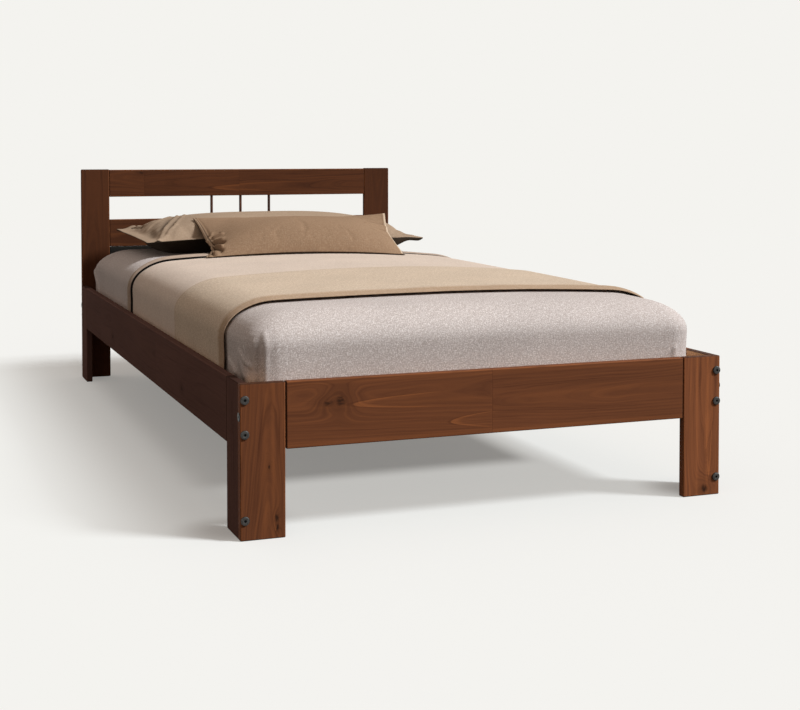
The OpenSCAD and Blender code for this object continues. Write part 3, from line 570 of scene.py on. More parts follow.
def ticking():
    """Pale mattress ticking with thin woven stripes."""
    f = Finish("ticking")
    at = f.node("Attribute", {}, "Vector", attribute_name="cloth")
    u = f.split(at)[0]
    stripe = f.rise(f.math("PINGPONG", u, 0.018), 0.015, 0.016)
    thin = f.rise(f.math("PINGPONG", u + 0.006, 0.018), 0.0172, 0.0176)
    grain = f.noise(at, 700, 3)
    colour = f.between(grain, 0.3, 0.7, (222, 219, 209), (206, 203, 193))
    colour = f.mix(f.most(stripe, thin), colour, srgb(150, 152, 152))
    return f.finish(colour, 0.88, Normal=f.bump(grain, 0.0004, 0.5), Specular_IOR_Level=0.15,
                    Sheen_Weight=0.2)


def meshed(name, bm):
    """Turns a bmesh into a mesh and lets the bmesh go."""
    mesh = bpy.data.meshes.new(name)
    bm.to_mesh(mesh)
    bm.free()
    return mesh


def linked(name, data):
    """A new object in the scene."""
    made = bpy.data.objects.new(name, data)
    bpy.context.scene.collection.objects.link(made)
    return made


def shown(name, bm, materials, node, smooth=True):
    """Turns a bmesh into a piece of the bed that rides on its one body."""
    bmesh.ops.recalc_face_normals(bm, faces=bm.faces[:])
    mesh = meshed(name, bm)
    if smooth:
        mesh.shade_smooth()
    for material in materials:
        mesh.materials.append(material)
    piece = linked(name, mesh)
    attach(piece, "root")
    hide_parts(node)
    return piece


def finished(piece):
    """The mesh with its modifiers applied, so that the piece holds its final shape."""
    depsgraph = bpy.context.evaluated_depsgraph_get()
    applied = bpy.data.meshes.new_from_object(piece.evaluated_get(depsgraph))
    old = piece.data
    piece.modifiers.clear()
    piece.data = applied
    bpy.data.meshes.remove(old)


def smoother(piece):
    """Subdivides a piece once."""
    fine = piece.modifiers.new("fine", "SUBSURF")
    fine.levels = 1
    fine.render_levels = 1


def open_edges(bm):
    return [edge for edge in bm.edges if edge.is_boundary]


def drilled(bm, holes):
    """Cuts the blind holes of barrel nuts, each (mouth, direction into the wood)."""
    body = linked("drilled", meshed("drilled", bm))
    cutters = bmesh.new()
    for mouth, direction in holes:
        turn = Vector((0, 0, 1)).rotation_difference(direction).to_matrix().to_4x4()
        span = NUT_HOLE_DEPTH + BOARD_EDGE
        centre = Matrix.Translation(mouth + direction * (NUT_HOLE_DEPTH - span / 2))
        bmesh.ops.create_cone(cutters, cap_ends=True, segments=32, radius1=NUT_HOLE_R,
                              radius2=NUT_HOLE_R, depth=span, matrix=centre @ turn)
    drill = linked("drill", meshed("drill", cutters))
    cut = body.modifiers.new("holes", "BOOLEAN")
    cut.object = drill
    cut.operation = "DIFFERENCE"
    cut.solver = "EXACT"
    bpy.context.view_layer.update()
    finished(body)
    result = bmesh.new()
    result.from_mesh(body.data)
    for made in (body, drill):
        bpy.data.meshes.remove(made.data)
    return result


def board(node, finishes, bare_side, edge, holes):
    """A sawn board with rounded edges in a CAD board's place. bare_side is the direction of the
    face that was left bare."""
    low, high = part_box(node)
    bm = bmesh.new()
    place = Matrix.Translation((low + high) / 2) @ Matrix.Diagonal((*(high - low), 1))
    bmesh.ops.create_cube(bm, size=1, matrix=place)
    bmesh.ops.bevel(bm, geom=bm.edges[:], offset=edge, offset_type="OFFSET", segments=4,
                    profile=0.5, affect="EDGES", material=-1)
    if holes:
        bm = drilled(bm, holes)
    sliver = edge * max(high - low) / 100
    for face in bm.faces:
        face.smooth = max(abs(part) for part in face.normal) < 0.999
        if bare_side and face.normal.dot(bare_side) > 0.95 and face.calc_area() > sliver:
            face.material_index = 1
    shown(node + "_wood", bm, finishes, node, smooth=False)


def nut_holes():
    """For each board, the mouths of the barrel nuts' holes on its bare face, and their way in."""
    rail_low, rail_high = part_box("side_rail_right")
    inner_y = -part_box("foot_rail")[1].y
    leg_start = -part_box("foot_leg_left_side_board")[0].y
    holes = {node: [] for node in FIGURES}
    for x_side, x_name in ((-1, "left"), (1, "right")):
        inner_x = x_side * rail_low.x
        outwards = Vector((x_side, 0, 0))
        for y_side, y_name, end_rail in ((-1, "foot", "foot_rail"), (1, "head", "head_cross_rail")):
            for z in UPPER_BOLT_ZS:
                mouth = Vector((inner_x, y_side * (rail_high.y - NUT_INSET), z))
                holes["side_rail_" + x_name].append((mouth, outwards))
            mouth = Vector((inner_x, y_side * (leg_start - NUT_INSET), LOW_BOLT_Z))
            holes[f"{y_name}_leg_{x_name}_side_board"].append((mouth, outwards))
            end_x = x_side * (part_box(end_rail)[1].x - NUT_INSET)
            mouth = Vector((end_x, y_side * inner_y, SIDE_BOLT_Z))
            holes[end_rail].append((mouth, Vector((0, y_side, 0))))
    return holes


def bare_direction(node):
    """Which way the face of a stained board looks that was left bare, if it has one."""
    if "side" in node:
        return Vector((1 if "left" in node else -1, 0, 0))
    if node.startswith("foot"):
        return Vector((0, 1, 0))
    return Vector((0, -1, 0)) if node == "head_cross_rail" else None


# Each stained board's own figure
FIGURES = {
    "foot_rail": dict(
        seed=3, joints=(-0.007,), heart=(0.012, 0.05), taper=-0.02, contrast=0.8,
        knots=((-0.328, 0.021, 0.017, 0.9), (-0.354, 0.018, 0.011, 1.4)),
        flames=((-0.304, 0.012, 0.17, 0.016), (-0.098, -0.037, 0.09, 0.017)),
        bands=((-0.0585, 0.0035, 0.55), (0.058, 0.003, 0.35), (0.01, 0.004, 0.25))),
    "head_cross_rail": dict(seed=17, joints=(0.12,), knots=((0.24, -0.02, 0.008, 1.4),)),
    "side_rail_left": dict(
        seed=5, joints=(0.638, -0.21), taper=0.01,
        knots=((0.421, -0.027, 0.01, 1.6), (-0.512, -0.026, 0.007, 1.5))),
    "side_rail_right": dict(
        seed=8, joints=(-0.43, 0.36), taper=-0.012,
        knots=((-0.61, 0.018, 0.009, 1.5), (0.12, -0.03, 0.007, 1.4))),
    "foot_leg_left_front_board": dict(
        seed=11, taper=0.03, flames=((-0.136, 0.0235, 0.05, 0.006),),
        knots=((-0.112, 0.0265, 0.005, 2.0), (-0.128, 0.0275, 0.004, 2.2),
               (-0.012, 0.012, 0.0022, 2.6)),
        bands=((0.02, 0.004, 0.5), (0.004, 0.006, 0.3), (0.033, 0.003, 0.35))),
    "foot_leg_right_front_board": dict(
        seed=14, taper=-0.03, tone=1.42, contrast=1.15, knots=((-0.135, 0.0075, 0.0125, 1.2),),
        flames=((-0.112, 0.0175, 0.16, 0.01),),
        bands=((0.014, 0.004, 0.6), (-0.012, 0.003, 0.4))),
    "foot_leg_left_side_board": dict(seed=21, taper=0.03),
    "foot_leg_right_side_board": dict(seed=23, taper=0.02, knots=((0.05, 0.02, 0.005, 1.3),)),
    "head_post_left": dict(seed=26, taper=0.02, tone=0.53, contrast=0.6),
    "head_post_right": dict(seed=29, taper=-0.02, tone=0.49, contrast=0.5),
    "head_leg_left_side_board": dict(seed=31, taper=0.02),
    "head_leg_right_side_board": dict(seed=33, taper=0.02),
    "headboard_top_rail": dict(
        seed=37, joints=(-0.326, -0.006), tone=0.64, taper=-0.02,
        knots=((-0.335, 0.0345, 0.006, 1.8),), flames=((-0.098, -0.0165, 0.3, 0.02),)),
    "headboard_lower_rail": dict(seed=41, joints=(0.19,), tone=0.56, taper=0.02),
    "headboard_bottom_rail": dict(seed=43, taper=0.01),
}


def frame_boards():
    """The fifteen stained boards."""
    holes = nut_holes()
    for node, figure in FIGURES.items():
        # The headboard's bottom rail is stained near black as painted shadow
        is_shadow_board = node == "headboard_bottom_rail"
        stain = SHADOW_DARK_STAINED if is_shadow_board else STAINED
        # The left side boards take the painted shade copy of the stain
        if "side" in node and "left" in node:
            stain = SHADED_SIDE_STAINED
        bare_side = bare_direction(node)
        finishes = [pine("stain_" + node, node, stain, **figure)]
        if bare_side:
            finishes.append(pine("bare_" + node, node, RAW, **{**figure, "tone": 1.0}))
        board(node, finishes, bare_side, POST_EDGE if "post" in node else BOARD_EDGE, holes[node])


def slat_finish(node):
    """Raw pine of a slat, with a knot on every other one."""
    seed = 50 + 3 * int(node.split("_")[1])
    knots = ((0.013 * (seed % 31) - 0.2, 0.012, 0.008, 1.4),) if seed % 2 else ()
    return pine("raw_" + node, node, RAW, seed, knots=knots, taper=0.02)


def carried_nodes():
    """Materials of the CAD pieces whose shape is right as it is."""
    plain = {"spindle_": dark_spindle(), "screws": plated_zinc("screw_zinc", (205, 202, 190)),
             "barrel_nuts": plated_zinc("nut_zinc", (196, 196, 194)), "dowels": beech_dowel()}
    for node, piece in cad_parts.items():
        finish = next((made for part, made in plain.items() if part in node), None)
        if finish is None and node.startswith("slat_"):
            finish = slat_finish(node)
        elif finish is None and node.startswith("ledger_"):
            seed = 47 if "left" in node else 49
            finish = pine("raw_" + node, node, RAW, seed, ring=LEDGER_RING)
        if finish:
            piece.data.materials.clear()
            piece.data.materials.append(finish)


def connector_bolt(bm, length, place, head_t, socket_r):
    """A flat round-edged head with a hexagon socket, and a threaded shank. +Z points inwards."""
    head_points = [(SHANK_R, 0), (HEAD_R - 0.0008, 0), (HEAD_R, -0.23 * head_t),
                   (HEAD_R, -0.57 * head_t), (HEAD_R - 0.0005, -0.83 * head_t),
                   (HEAD_R - 0.0014, -head_t), (socket_r + 0.0008, -head_t),
                   (socket_r, -0.91 * head_t)]
    thread = []
    for turn in range(THREAD_TURNS):
        start = length - 0.0015 - (THREAD_TURNS - turn) * THREAD_PITCH
        thread += [(SHANK_R, start), (SHANK_R - THREAD_DEPTH, start + THREAD_PITCH / 2)]
    shank_points = [(0, length), (SHANK_R - 0.0008, length)] + thread[::-1]
    made = bmesh.new()
    profile = [made.verts.new((r, 0, z)) for r, z in shank_points + head_points]
    edges = [made.edges.new(pair) for pair in zip(profile, profile[1:])]
    bmesh.ops.spin(made, geom=profile + edges, cent=(0, 0, 0), axis=(0, 0, 1),
                   angle=2 * math.pi, steps=24, use_merge=True)
    bmesh.ops.remove_doubles(made, verts=made.verts[:], dist=1e-6)
    rim = open_edges(made)
    for vert in {vert for edge in rim for vert in edge.verts}:
        angle = math.atan2(vert.co.y, vert.co.x)
        off_flat = (angle + math.pi / 6) % (math.pi / 3) - math.pi / 6
        reach = socket_r * math.cos(math.pi / 6) / math.cos(off_flat)
        vert.co.x = reach * math.cos(angle)
        vert.co.y = reach * math.sin(angle)
    for part in bmesh.ops.extrude_edge_only(made, edges=rim)["geom"]:
        if isinstance(part, bmesh.types.BMVert):
            part.co.z = -head_t + SOCKET_DEPTH
    bmesh.ops.holes_fill(made, edges=open_edges(made), sides=0)
    bmesh.ops.recalc_face_normals(made, faces=made.faces[:])
    # Faces in the socket and round the head's rim take the second material, which is painted shade
    for face in made.faces:
        centre = face.calc_center_median()
        off_axis = math.hypot(centre.x, centre.y)
        in_socket = off_axis < socket_r and centre.z < SOCKET_DEPTH
        on_rim = off_axis > HEAD_R - 0.0003 and centre.z > -0.75 * head_t
        face.material_index = 1 if in_socket or on_rim else 0
    made.transform(place)
    mesh = meshed("bolt", made)
    bm.from_mesh(mesh)
    bpy.data.meshes.remove(mesh)


def bolts():
    """The three groups of connector bolts at the four legs."""
    steels = [blackened_steel(), painted_socket_shade()]
    face_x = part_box("foot_leg_right_front_board")[1].x
    face_y = -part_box("foot_rail")[0].y
    thick = (HEAD_T, SOCKET_R)
    thin = (THIN_HEAD_T, THIN_SOCKET_R)
    groups = {"leg_to_side_rail_bolts": [], "leg_to_end_rail_bolts": [], "low_leg_bolts": []}
    for y_side, end_bolt_l in ((-1, FOOT_BOLT_L), (1, HEAD_BOLT_L)):
        inward = Matrix.Rotation(y_side * math.pi / 2, 4, "X")
        for x_side in (-1, 1):
            for node, length, z in (("leg_to_side_rail_bolts", SIDE_RAIL_BOLT_L, UPPER_BOLT_ZS[0]),
                                    ("leg_to_side_rail_bolts", SIDE_RAIL_BOLT_L, UPPER_BOLT_ZS[1]),
                                    ("low_leg_bolts", LOW_BOLT_L, LOW_BOLT_Z)):
                place = Matrix.Translation((x_side * BOLT_X, y_side * face_y, z)) @ inward
                groups[node].append((length, place, *thick))
            sideways = Matrix.Rotation(-x_side * math.pi / 2, 4, "Y")
            place = Matrix.Translation(
                (x_side * face_x, y_side * (face_y - BOARD_T / 2), SIDE_BOLT_Z)) @ sideways
            groups["leg_to_end_rail_bolts"].append((end_bolt_l, place, *thin))
    for node, group in groups.items():
        bm = bmesh.new()
        for bolt in group:
            connector_bolt(bm, *bolt)
        for face in bm.faces:
            face.smooth = True
        for edge in bm.edges:
            edge.smooth = len(edge.link_faces) == 2 and edge.calc_face_angle(0) < math.radians(40)
        shown(node + "_steel", bm, steels, node, smooth=False)


def crown_at(x, y):
    """How far the middle of the mattress stands above its edges."""
    across = max(0, 1 - (x / HALF_W) ** 2)
    return CROWN * across * max(0, 1 - (y / HALF_L) ** 2)


def edge_drop(inset):
    """How far the rounded upper edge has dropped, this far in from a side."""
    share = 1 - min(1, max(0, inset) / ROUND_W)
    return ROUND_H * (1 - math.sqrt(max(0, 1 - share * share)))


def sag_at(x):
    """The right side of the bedding has settled a little."""
    return RIGHT_SAG * max(0, x / HALF_W) ** 2


def deck_z(x, y):
    """Height of the mattress's upper surface."""
    drop = edge_drop(HALF_W - abs(x)) + edge_drop(HALF_L - abs(y))
    return FLAT_TOP - drop + crown_at(x, y) * max(0, 1 - drop / ROUND_H) - sag_at(x)


def corner_point(a, b):
    """A point of the unit square, moved so that the square's outer corner is rounded."""
    radius = CORNER_R / ROUND_W
    reach = max(a, b)
    if reach <= 0:
        return 0.0, 0.0
    run = min(a, b) / reach * (1 - radius + math.pi / 4 * radius)
    if run <= 1 - radius:
        far, near = 1.0, run
    else:
        angle = (run - 1 + radius) / radius
        far = 1 - radius + radius * math.cos(angle)
        near = 1 - radius + radius * math.sin(angle)
    return (far * reach, near * reach) if a >= b else (near * reach, far * reach)


def plan_point(x, y):
    """A point of the mattress's rectangle on its round-cornered plan, and how far in it lies."""
    inset = min(HALF_W - abs(x), HALF_L - abs(y))
    a = (abs(x) - HALF_W + ROUND_W) / ROUND_W
    b = (abs(y) - HALF_L + ROUND_W) / ROUND_W
    if a > 0 and b > 0:
        a, b = corner_point(a, b)
        x = math.copysign(HALF_W - ROUND_W + a * ROUND_W, x)
        y = math.copysign(HALF_L - ROUND_W + b * ROUND_W, y)
    return x, y, max(0, inset)


def top_point(x, y):
    """The mattress's upper surface over a point of its rectangle."""
    plan_x, plan_y, inset = plan_point(x, y)
    drop = edge_drop(inset)
    rise = crown_at(plan_x, plan_y) * max(0, 1 - drop / ROUND_H)
    sag = sag_at(plan_x) + HEAD_SAG * smooth_step(0.86, 0.985, plan_y / HALF_L)
    return Vector((plan_x, plan_y, FLAT_TOP - drop + rise - sag))


def even_place(value, half):
    """A grid place on a half width, with the rows near the side spread evenly round the edge."""
    flat = half - ROUND_W
    arc = ROUND_W * 1.25
    place = abs(value) * (flat + arc)
    if place > flat:
        angle = (1 - (place - flat) / arc) * math.pi / 2
        place = half - ROUND_W * (1 - math.cos(angle))
    return math.copysign(place, value)


def arc_place(value, half):
    """A place on the mattress's rectangle, measured along its rounded edge."""
    share = max(0, abs(value) - half + ROUND_W) / ROUND_W
    round_part = (ROUND_W + ROUND_H) / 2 * math.asin(min(1, share))
    return math.copysign(min(abs(value), half - ROUND_W) + round_part, value)


def extruded(bm):
    """Extrudes the open edges of a shell and returns the new points."""
    made = bmesh.ops.extrude_edge_only(bm, edges=open_edges(bm))["geom"]
    return [part for part in made if isinstance(part, bmesh.types.BMVert)]


def draw_in(vert, distance):
    """Moves a point towards the bed's middle in both directions."""
    vert.co.x -= math.copysign(distance, vert.co.x)
    vert.co.y -= math.copysign(distance, vert.co.y)


def soft_box(columns, rows, walls, low_z):
    """The open upper shell of the mattress: its top as a grid, and its sides as rows below."""
    bm = bmesh.new()
    bmesh.ops.create_grid(bm, x_segments=columns, y_segments=rows, size=1)
    cloth_place = bm.verts.layers.float_vector.new("cloth")
    for vert in bm.verts:
        x = even_place(vert.co.x, HALF_W)
        y = even_place(vert.co.y, HALF_L)
        vert.co = top_point(x, y)
        vert[cloth_place] = Vector((arc_place(x, HALF_W), arc_place(y, HALF_L), 0))
    for wall in range(walls):
        for vert in extruded(bm):
            start = vert[cloth_place].z if wall else vert.co.z
            vert[cloth_place] = Vector((*vert[cloth_place].xy, start))
            vert.co.z = start + (low_z - start) * (wall + 1) / walls
    for vert in bm.verts:
        place = Vector((*vert[cloth_place].xy, 1))
        start = vert[cloth_place].z
        if start:
            x, y = vert.co.xy
            fall = start - vert.co.z
            place = Vector((arc_place(x, HALF_W), arc_place(y, HALF_L), 1))
            if abs(x / HALF_W) > abs(y / HALF_L):
                place.x += math.copysign(fall, x)
            else:
                place.y += math.copysign(fall, y)
            share = fall / (start - low_z)
            draw_in(vert, SIDE_DRAW * 4 * share * (1 - share))
        vert[cloth_place] = place
    return bm, cloth_place


def mattress():
    """The mattress under its sheet, closed below."""
    bm, _ = soft_box(*MATTRESS_CELLS, MATTRESS_LOW.z)
    for vert in extruded(bm):
        draw_in(vert, MATTRESS_TURN)
    bmesh.ops.holes_fill(bm, edges=open_edges(bm), sides=0)
    piece = shown("mattress_ticking", bm, [ticking()], "mattress")


def laid_section(lift):
    """The way across the bed from its middle to the tuck: (run, x, z, share up)."""
    flat = HALF_W - ROUND_W
    round_low = FLAT_TOP - ROUND_H
    shares = [step / LAID_STEPS for step in range(1, LAID_STEPS + 1)]
    points = [(flat * share, FLAT_TOP + lift, 1.0) for share in [0, *shares]]
    for angle in (math.pi / 2 * share for share in shares):
        points.append((flat + (ROUND_W + lift) * math.sin(angle),
                       round_low + (ROUND_H + lift) * math.cos(angle), math.cos(angle)))
    for share in shares:
        points.append((HALF_W + lift - SIDE_DRAW * 4 * share * (1 - share),
                       round_low + (TUCK_Z - round_low) * share, 0.0))
    run = 0
    measured = []
    for before, after in zip(points[:1] + points, points):
        run += math.dist(before[:2], after[:2])
        measured.append((run, *after))
    return measured


def section_at(section, run):
    """x, z and the share up at a distance along a section."""
    run = min(abs(run), section[-1][0])
    for before, after in zip(section, section[1:]):
        if run <= after[0]:
            share = (run - before[0]) / (after[0] - before[0])
            return [a + (b - a) * share for a, b in zip(before[1:], after[1:])]
    return section[-1][1:]


def draped_point(section, u, v, rise=0):
    """Where a point of a laid cloth comes to lie: u across from the middle, v along the bed,
    raised from the bed by rise."""
    x, z, up = section_at(section, u)
    x = math.copysign(x + rise * math.sqrt(max(0, 1 - up * up)), u)
    return Vector((x, v, z + up * (crown_at(x, v) - sag_at(x) + rise)))


def cloth_grid(width, low_v, high_v, cell, hem):
    """A flat cloth as a grid in its own metres, with its places kept for the weave. Rows crowd
    together in a hem along its high edge."""
    bm = bmesh.new()
    middle = Matrix.Translation((0, (low_v + high_v) / 2, 0))
    spread = Matrix.Diagonal((width / 2, (high_v - low_v) / 2, 1, 1))
    bmesh.ops.create_grid(bm, x_segments=round(width / cell), size=1, matrix=middle @ spread,
                          y_segments=round((high_v - low_v) / cell))
    cloth_place = bm.verts.layers.float_vector.new("cloth")
    for vert in bm.verts:
        share = (vert.co.y - low_v) / (high_v - low_v)
        if share < HEM_START:
            vert.co.y = low_v + share / HEM_START * (high_v - hem - low_v)
        else:
            vert.co.y = high_v - hem * (1 - share) / (1 - HEM_START)
        vert[cloth_place] = Vector((*vert.co.xy, 1))
    return bm


def thickened(piece, thickness, offset=1):
    """Gives a cloth its thickness, outwards or to both sides."""
    solid = piece.modifiers.new("thickness", "SOLIDIFY")
    solid.thickness = thickness
    solid.offset = offset


def pleat_at(vert, foot_folds, left_folds):
    """What the folds near the sheet's corners do at a point of its sides."""
    x, y, z = vert.co
    foot = creased(x, z, foot_folds) * smooth_step(0.4, 0.75, -vert.normal.y)
    return foot + creased(y, z, left_folds) * smooth_step(0.4, 0.9, -vert.normal.x)


def has_pleats(vert):
    """Whether a point of the sheet's sides is near a corner with folds."""
    x, y, z = vert.co
    return z < 0.41 and (x < -0.42 and abs(y) > 0.78 or x > 0.41 and y < -0.96)


def fitted_sheet():
    """The sheet pulled over the mattress, with its hem turned under."""
    bm, cloth_place = soft_box(*SHEET_CELLS, MATTRESS_LOW.z - SHEET_UNDER_GAP)
    near_pleats = [edge for edge in bm.edges if all(has_pleats(vert) for vert in edge.verts)]
    bmesh.ops.subdivide_edges(bm, edges=near_pleats, cuts=2, use_grid_fill=True)
    for _ in range(HEM_ROWS):
        for vert in extruded(bm):
            draw_in(vert, SHEET_HEM / HEM_ROWS)
    bmesh.ops.recalc_face_normals(bm, faces=bm.faces[:])
    bm.normal_update()
    for vert in bm.verts:
        light = 1 - min(0.8, pleat_at(vert, FOOT_FOLDS, LEFT_FOLDS))
        vert[cloth_place] = Vector((*vert[cloth_place].xy, light))
        vert.co += vert.normal * (SHEET_GAP + pleat_at(vert, FOOT_RIDGES, LEFT_RIDGES))
    linen = cloth("sheet_cloth", (180, 165, 157), (209, 196, 189), (244, 236, 231),
                  heather=0.8, coarse=0.0018, nap=0.08)
    piece = shown("fitted_sheet_cloth", bm, [linen], "fitted_sheet")
    thickened(piece, SHEET_T)


def coverlet():
    """The light coverlet, tucked down both sides."""
    section = laid_section(COVERLET_LIFT)
    width = 2 * section[-1][0]
    bm = cloth_grid(width, COVERLET_FOOT_Y, COVERLET_HEAD_Y, COVERLET_CELL, COVERLET_HEM)
    crease_y = COVERLET_HEAD_Y - COVERLET_ROLL
    for vert in bm.verts:
        u, v = vert.co.xy
        share = (v - crease_y) / COVERLET_ROLL
        rise = -COVERLET_CREASE * math.exp(-(share / 0.2) ** 2)
        if share > 0:
            plump = (1 + 0.22 * ripple(12 * u, 5)) * (1 - 0.55 * smooth_step(-0.3, 0.3, u))
            rise += COVERLET_ROLL_H * plump * max(0, math.sin(math.pi * share)) ** 0.6
        vert.co = draped_point(section, u, v, rise * smooth_step(0.24, 0.3, abs(u)))
    # The brown band over the rolled hem is painted shade, and the black band along the crease before
    # it is a painted shadow line
    finish = cloth("coverlet_cloth", (210, 189, 171), (224, 205, 188), (242, 226, 212),
                   heather=0.5, coarse=0.003, nap=0.1,
                   bands=((crease_y + 0.004, crease_y + 0.06, 1, srgb(140, 114, 92), 0.6),
                          (crease_y - 0.006, crease_y + 0.004, 1, BLACK_SHADE, 1.0)))
    piece = shown("coverlet_cloth", bm, [finish], "coverlet")
    thickened(piece, COVERLET_T)
    smoother(piece)


def throw():
    """The folded throw: an under layer, a round fold at its head edge and an upper layer."""
    under = laid_section(THROW_LIFT)
    over = laid_section(THROW_LIFT + THROW_LAYER + THROW_FOLD_GAP)
    width = 2 * under[-1][0]
    depth = THROW_HEAD_Y - THROW_FOOT_Y
    bm = cloth_grid(width, -depth, depth, THROW_CELL, THROW_HEM_ROWS)
    for vert in bm.verts:
        u, v = vert.co.xy
        if v < 0:
            y = THROW_HEAD_Y + v * (1 - THROW_SET_BACK / depth)
            vert.co = draped_point(under, u, y)
            continue
        share = (v - depth + THROW_HEM) / THROW_HEM
        swell = smooth_step(0, 0.55, share) - THROW_HEM_FALL * smooth_step(0.55, 1, share)
        lift = THROW_HEM_RISE * (1 + 0.3 * ripple(9 * u, 3)) * swell
        shift = 0.0022 * ripple(14 * u, 8) - THROW_HEM_DRAW
        y = THROW_HEAD_Y - v + smooth_step(depth - THROW_HEM, depth, v) * shift
        vert.co = draped_point(over, u, y, lift)
    # The foot hem is browner in its own colour; the same tint along the round fold at the head edge is
    # painted shade, and the black band at the under layer's foot end is a painted shadow under the hem
    hem_and_fold_shade_tint = srgb(176, 144, 112)
    finish = cloth("throw_cloth", (196, 172, 147), (216, 195, 172), (238, 220, 199),
                   heather=0.65, coarse=0.0028, nap=0.1,
                   bands=((depth - 0.024, depth + 0.01, 1, hem_and_fold_shade_tint, 0.35),
                          (depth - 0.016, depth + 0.01, 1, srgb(150, 116, 86), 0.45),
                          (-0.012, 0.02, 1, hem_and_fold_shade_tint, 0.35),
                          (-depth - 0.01, -depth + 0.03, 1, BLACK_SHADE, 1.0)))
    piece = shown("throw_cloth", bm, [finish], "throw")
    thickened(piece, THROW_LAYER, 0)
    smoother(piece)


def puff(u, v, power, roundness):
    """Filling of a pad, from 1 in its middle to 0 at its seam."""
    across = 1 - min(1, abs(u)) ** power
    return max(0, across * (1 - min(1, abs(v)) ** power)) ** roundness


def pulled(a, b, pull):
    """A place along a side that draws in between its corners."""
    return a * (1 - pull * (1 - b * b))


def pillow_place(u, v):
    return (PILLOW_W / 2 * pulled(u, v, PILLOW_PULL),
            PILLOW_Y + PILLOW_L / 2 * pulled(v, u, PILLOW_PULL))


def pillow_fill(u, v):
    return puff(u / (1 - 2 * PILLOW_FLANGE / PILLOW_W), v / (1 - 2 * PILLOW_FLANGE / PILLOW_L),
                3.4, 0.55)


def pillow_seam(x, y, v):
    """Height of the pillow's seam and flange, which bridge the mattress's rounded edge."""
    wave = math.exp(-((x - PILLOW_WAVE_X) / PILLOW_WAVE_W) ** 2) * smooth_step(0.5, 1, v)
    rise = PILLOW_RISE + PILLOW_BACK_RISE * (v + 1) / 2 + PILLOW_WAVE * wave
    rise += PILLOW_RIGHT_RISE * smooth_step(0, PILLOW_W / 2, x)
    return FLAT_TOP + crown_at(x, y) - sag_at(x) + rise


def pillow_top(u, v):
    """A point of the upper fabric. The flange curls up a little at its left back corner."""
    x, y = pillow_place(u, v)
    curl = PILLOW_CURL * smooth_step(0.9, 1, -u) * smooth_step(0.5, 1, v)
    return Vector((x, y, pillow_seam(x, y, v) + FLANGE_T + PILLOW_PUFF * pillow_fill(u, v) + curl))


def pillow_under(u, v):
    """A point of the under fabric, on the sheet in the middle and hanging at the front right."""
    x, y = pillow_place(u, v)
    deck = deck_z(x, y) + SHEET_GAP + SHEET_T + REST_PLAY
    open_share = 1 - smooth_step(0.08, 0.6, pillow_fill(u, v))
    low = deck + (pillow_seam(x, y, v) - deck) * open_share
    front_right = smooth_step(0.5, 0.8, u) * smooth_step(0.55, 0.9, -v)
    hang = PILLOW_DROP + (PILLOW_HANG - PILLOW_DROP) * (1 - smooth_step(0.76, 0.9, u))
    tip = 1 - smooth_step(0.97, 1, u)
    high = pillow_top(u, v).z - 0.002 - hang * front_right * tip
    return Vector((x, y, max(deck, min(low, high))))


def cushion_place(u, v):
    a = CUSHION_W / 2 * pulled(u, v, CUSHION_PULL) * (1 + CUSHION_EARS * abs(u) * max(0, v))
    a += CUSHION_PINCH * max(0, -u) ** 4 * math.exp(-((v + 0.55) / 0.35) ** 2)
    b = CUSHION_REACH * pulled(v, u, CUSHION_PULL)
    c, s = math.cos(CUSHION_TURN), math.sin(CUSHION_TURN)
    return a * c + b * s, CUSHION_Y - a * s + b * c, b


def cushion_seat(x, y):
    """Height of what carries the cushion: the coverlet, then the rear pillow's front."""
    v = (y - PILLOW_Y) / (PILLOW_L / 2)
    seat = deck_z(x, y) + COVERLET_LIFT + COVERLET_T
    if v > -1:
        fill = pillow_fill(x / (PILLOW_W / 2), v)
        seat = max(seat, pillow_seam(x, y, v) + CUSHION_ON_PILLOW + PILLOW_PUFF * fill)
    return seat + REST_PLAY


def cushion_seam(u, v, b):
    """Height of the cushion's seam, which drops at its front corners."""
    low_z = FLAT_TOP + crown_at(0, CUSHION_Y - CUSHION_REACH) + COVERLET_LIFT + COVERLET_T
    droop = CUSHION_DROOP * u * u * (1 - v) / 2
    tip = CUSHION_TIP_RISE * max(0, u) ** 4 * max(0, v) ** 2
    return low_z + CUSHION_LIFT + (b + CUSHION_REACH) * math.tan(CUSHION_LEAN) - droop + tip


def cushion_under(u, v):
    x, y, b = cushion_place(u, v)
    fill = CUSHION_BACK * puff(u, v, 3.2, 0.87)
    low = cushion_seam(u, v, b) - CUSHION_SEAM_T / 2 - fill
    return Vector((x, y, max(cushion_seat(x, y), low)))


def cushion_top(u, v):
    x, y, b = cushion_place(u, v)
    fill = CUSHION_PUFF * puff(u, v, 2.4, 0.66) * (1 - CUSHION_LOW_FILL * v)
    high = cushion_seam(u, v, b) + CUSHION_SEAM_T / 2 + fill
    return Vector((x, y, max(cushion_under(u, v).z + CUSHION_SEAM_T, high)))


def padded_grid(cells, size, top, under, held):
    """A pad as two grids, its upper and its under fabric, joined round its seam, and how firmly
    each point is held while it swells, from 0 to 1."""
    bm = bmesh.new()
    cloth_place = bm.verts.layers.float_vector.new("cloth")
    # The under fabric carries a mark that paints it in full shade
    for layer, surface in ((1, top), (UNDER_IN_SHADE, under)):
        grid = bmesh.ops.create_grid(bm, x_segments=cells[0], y_segments=cells[1], size=1)
        for vert in grid["verts"]:
            u, v = vert.co.xy
            vert[cloth_place] = Vector((u, v, layer))
            vert.co = surface(u, v)
    bmesh.ops.bridge_loops(bm, edges=open_edges(bm))
    pins = []
    for vert in bm.verts:
        u, v, layer = vert[cloth_place]
        pins.append(1.0 if layer == UNDER_IN_SHADE else held(u, v))
        vert[cloth_place] = Vector((u * size[0] / 2, v * size[1] / 2, layer))
    return bm, pins


